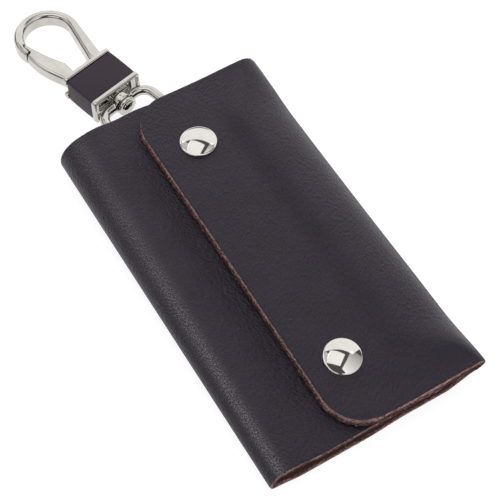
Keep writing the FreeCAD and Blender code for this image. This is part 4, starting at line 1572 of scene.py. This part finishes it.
@dataclass(frozen=True)
class Viewpoint:
    """Camera that looks down on the case from the low end's left."""

    azimuth: float = 0.548393
    elevation: float = 0.989646
    roll: float = 0.00765679
    distance: float = 365.029 * MM
    focal_pixels: float = 1334.44
    image_pixels: float = 500.0
    sensor: float = 36.0
    nearest: float = 10 * MM
    target: tuple[float, float, float] = (0.49 * MM, 6.69 * MM, 0.0)

    def build(self) -> None:
        """Make the camera and let the scene use it."""
        level = Vector((math.cos(self.azimuth), -math.sin(self.azimuth), 0))
        ahead = Vector((math.sin(self.azimuth), math.cos(self.azimuth), 0))
        view = ahead * math.cos(self.elevation) - Vector((0, 0, math.sin(self.elevation)))
        upright = level.cross(view)
        cosine, sine = math.cos(self.roll), math.sin(self.roll)
        right = level * cosine + upright * sine
        top = upright * cosine - level * sine
        data = bpy.data.cameras.new("camera")
        data.sensor_width = self.sensor
        data.lens = self.focal_pixels / self.image_pixels * self.sensor
        data.clip_start = self.nearest
        camera = bpy.data.objects.new("camera", data)
        pose = Matrix((right, top, -view)).transposed().to_4x4()
        pose.translation = Vector(self.target) - view * self.distance
        camera.matrix_world = pose
        bpy.context.scene.collection.objects.link(camera)
        bpy.context.scene.camera = camera


@dataclass(frozen=True)
class Softbox:
    """Light panel that faces the case, placed by how far right of, behind and above it the panel is."""

    name: str
    right: float
    behind: float
    above: float
    size: tuple[float, float]
    radiance: float
    far_share: float = 1.0

    def grade(self, data: bpy.types.Light) -> None:
        """Let the light fall off evenly towards its back end.

        Args:
            data: The light.
        """
        data.use_nodes = True
        data.node_tree.nodes.clear()
        graph = Graph(data.node_tree)
        place = graph.add("SeparateXYZ", Vector=graph.add("NewGeometry").outputs["Parametric"])
        fade = graph.math("MULTIPLY_ADD", place.outputs["Y"], self.far_share - 1.0, 1.0)
        glow = graph.add("Emission", Color=(1, 1, 1, 1), Strength=fade)
        graph.add("OutputLight", Surface=glow.outputs[0])

    def build(self, azimuth: float) -> None:
        """Make the light.

        Args:
            azimuth: Way from the front of the rig to its back, from +Y towards +X.
        """
        across = Vector((math.cos(azimuth), -math.sin(azimuth), 0))
        ahead = Vector((math.sin(azimuth), math.cos(azimuth), 0))
        place = across * self.right + ahead * self.behind + Vector((0, 0, self.above))
        data = bpy.data.lights.new(self.name, "AREA")
        data.shape = "RECTANGLE"
        data.size, data.size_y = self.size
        data.energy = self.radiance * math.pi * data.size * data.size_y
        if self.far_share != 1.0:
            self.grade(data)
        away = place.normalized()
        wide = (across - away * across.dot(away)).normalized()
        pose = Matrix((wide, away.cross(wide), away)).transposed().to_4x4()
        pose.translation = place
        light = bpy.data.objects.new(self.name, data)
        light.matrix_world = pose
        bpy.context.scene.collection.objects.link(light)


@dataclass(frozen=True)
class WhiteFloor(Finish):
    """White floor that keeps a faint shadow; the light that it throws back is plain."""

    name: str = "white_floor"
    glow: float = 0.86
    shadow: Colour = (0.30, 0.30, 0.30, 1)
    plain: Colour = (0.80, 0.80, 0.80, 1)

    def dress(self, graph: Graph, shader: Node) -> None:
        """Glow to the camera, metal and glass, and reflect evenly to all else.

        Args:
            graph: Graph of the material.
            shader: Its Principled BSDF, which isn't used.
        """
        graph.tree.nodes.clear()
        path = graph.add("LightPath").outputs
        seen = graph.math("MAXIMUM", path["Is Camera Ray"], path["Is Glossy Ray"])
        seen = graph.math("MAXIMUM", seen, path["Is Transmission Ray"])
        glow = graph.add("Emission", Color=(1, 1, 1, 1), Strength=self.glow).outputs[0]
        shadow = graph.add("BsdfDiffuse", Color=self.shadow).outputs[0]
        plain = graph.add("BsdfDiffuse", Color=self.plain).outputs[0]
        chosen = graph.join("MixShader", seen, plain, graph.join("AddShader", glow, shadow))
        graph.add("OutputMaterial", Surface=chosen)


@dataclass(frozen=True)
class Studio:
    """Pale floor, white surround and soft lights, whose rig is turned a little from the camera's way."""

    azimuth: float
    turn: float = math.radians(22)
    softboxes: tuple[Softbox, ...] = (
        Softbox("overhead", -0.205, 0.0, 0.80, (0.74, 0.66), 1.15),
        Softbox("back_light", -0.29, 0.78, 0.45, (1.92, 1.03), 1.1),
        Softbox("right_light", 0.766, 0.10, 0.643, (1.13, 1.5), 1.3, 0.22),
        Softbox("left_light", -1.00, -0.25, 0.62, (0.75, 1.2), 0.62),
        Softbox("front_light", -0.20, -1.00, 0.55, (0.9, 0.6), 1.0),
    )
    floor_reach: float = 3.0
    floor_drop: float = 0.1 * MM
    room: float = 0.10

    def build(self) -> None:
        """Make the floor, the world and the lights."""
        bpy.context.scene.view_settings.view_transform = "Standard"
        mesh = bmesh.new()
        bmesh.ops.create_grid(mesh, x_segments=2, y_segments=2, size=self.floor_reach)
        bmesh.ops.translate(mesh, verts=mesh.verts[:], vec=(0, 0, -self.floor_drop))
        as_object("floor", mesh, (WhiteFloor(),))
        self.surround()
        for softbox in self.softboxes:
            softbox.build(self.azimuth + self.turn)

    def surround(self) -> None:
        """White to the camera, a dim room to everything else."""
        world = bpy.data.worlds.new("surround")
        world.use_nodes = True
        world.node_tree.nodes.clear()
        graph = Graph(world.node_tree)
        seen = graph.add("LightPath").outputs["Is Camera Ray"]
        dim = graph.add("Background", Color=(1, 1, 1, 1), Strength=self.room).outputs[0]
        white = graph.add("Background", Color=(1, 1, 1, 1), Strength=1.0).outputs[0]
        graph.add("OutputWorld", Surface=graph.join("MixShader", seen, dim, white))
        bpy.context.scene.world = world


def dress_frame_nodes() -> None:
    """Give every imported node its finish; the replaced ones stay hidden."""
    for name, node in frame["nodes"].items():
        finish = SPRING_STEEL if name.endswith("spring") else NICKEL
        node.data.materials.clear()
        node.data.materials.append(finish.material())
        LOG.info("dressed %s", name)


def main() -> None:
    """Build the case, its hook and the studio."""
    logging.basicConfig(level=logging.INFO)
    viewpoint = Viewpoint()
    viewpoint.build()
    Studio(viewpoint.azimuth).build()
    pieces = FoldedCase().build() + [AnchorTab().build(), CollarSleeve().build()]
    castings = (CastPiece("hook_frame", "belt_hook", "hook_casting"), CastPiece("gate", "gate", "gate_lever"),
                CastPiece("swivel_eye", "swivel_eye", "eye_casting"),
                CastPiece("swivel_stem", "belt_hook", "stem_pin"))
    pieces += [casting.build() for casting in castings]
    for piece in pieces:
        LOG.info("built %s with %d faces", piece.name, len(piece.data.polygons))
    dress_frame_nodes()


if __name__ == "__main__":
    main()
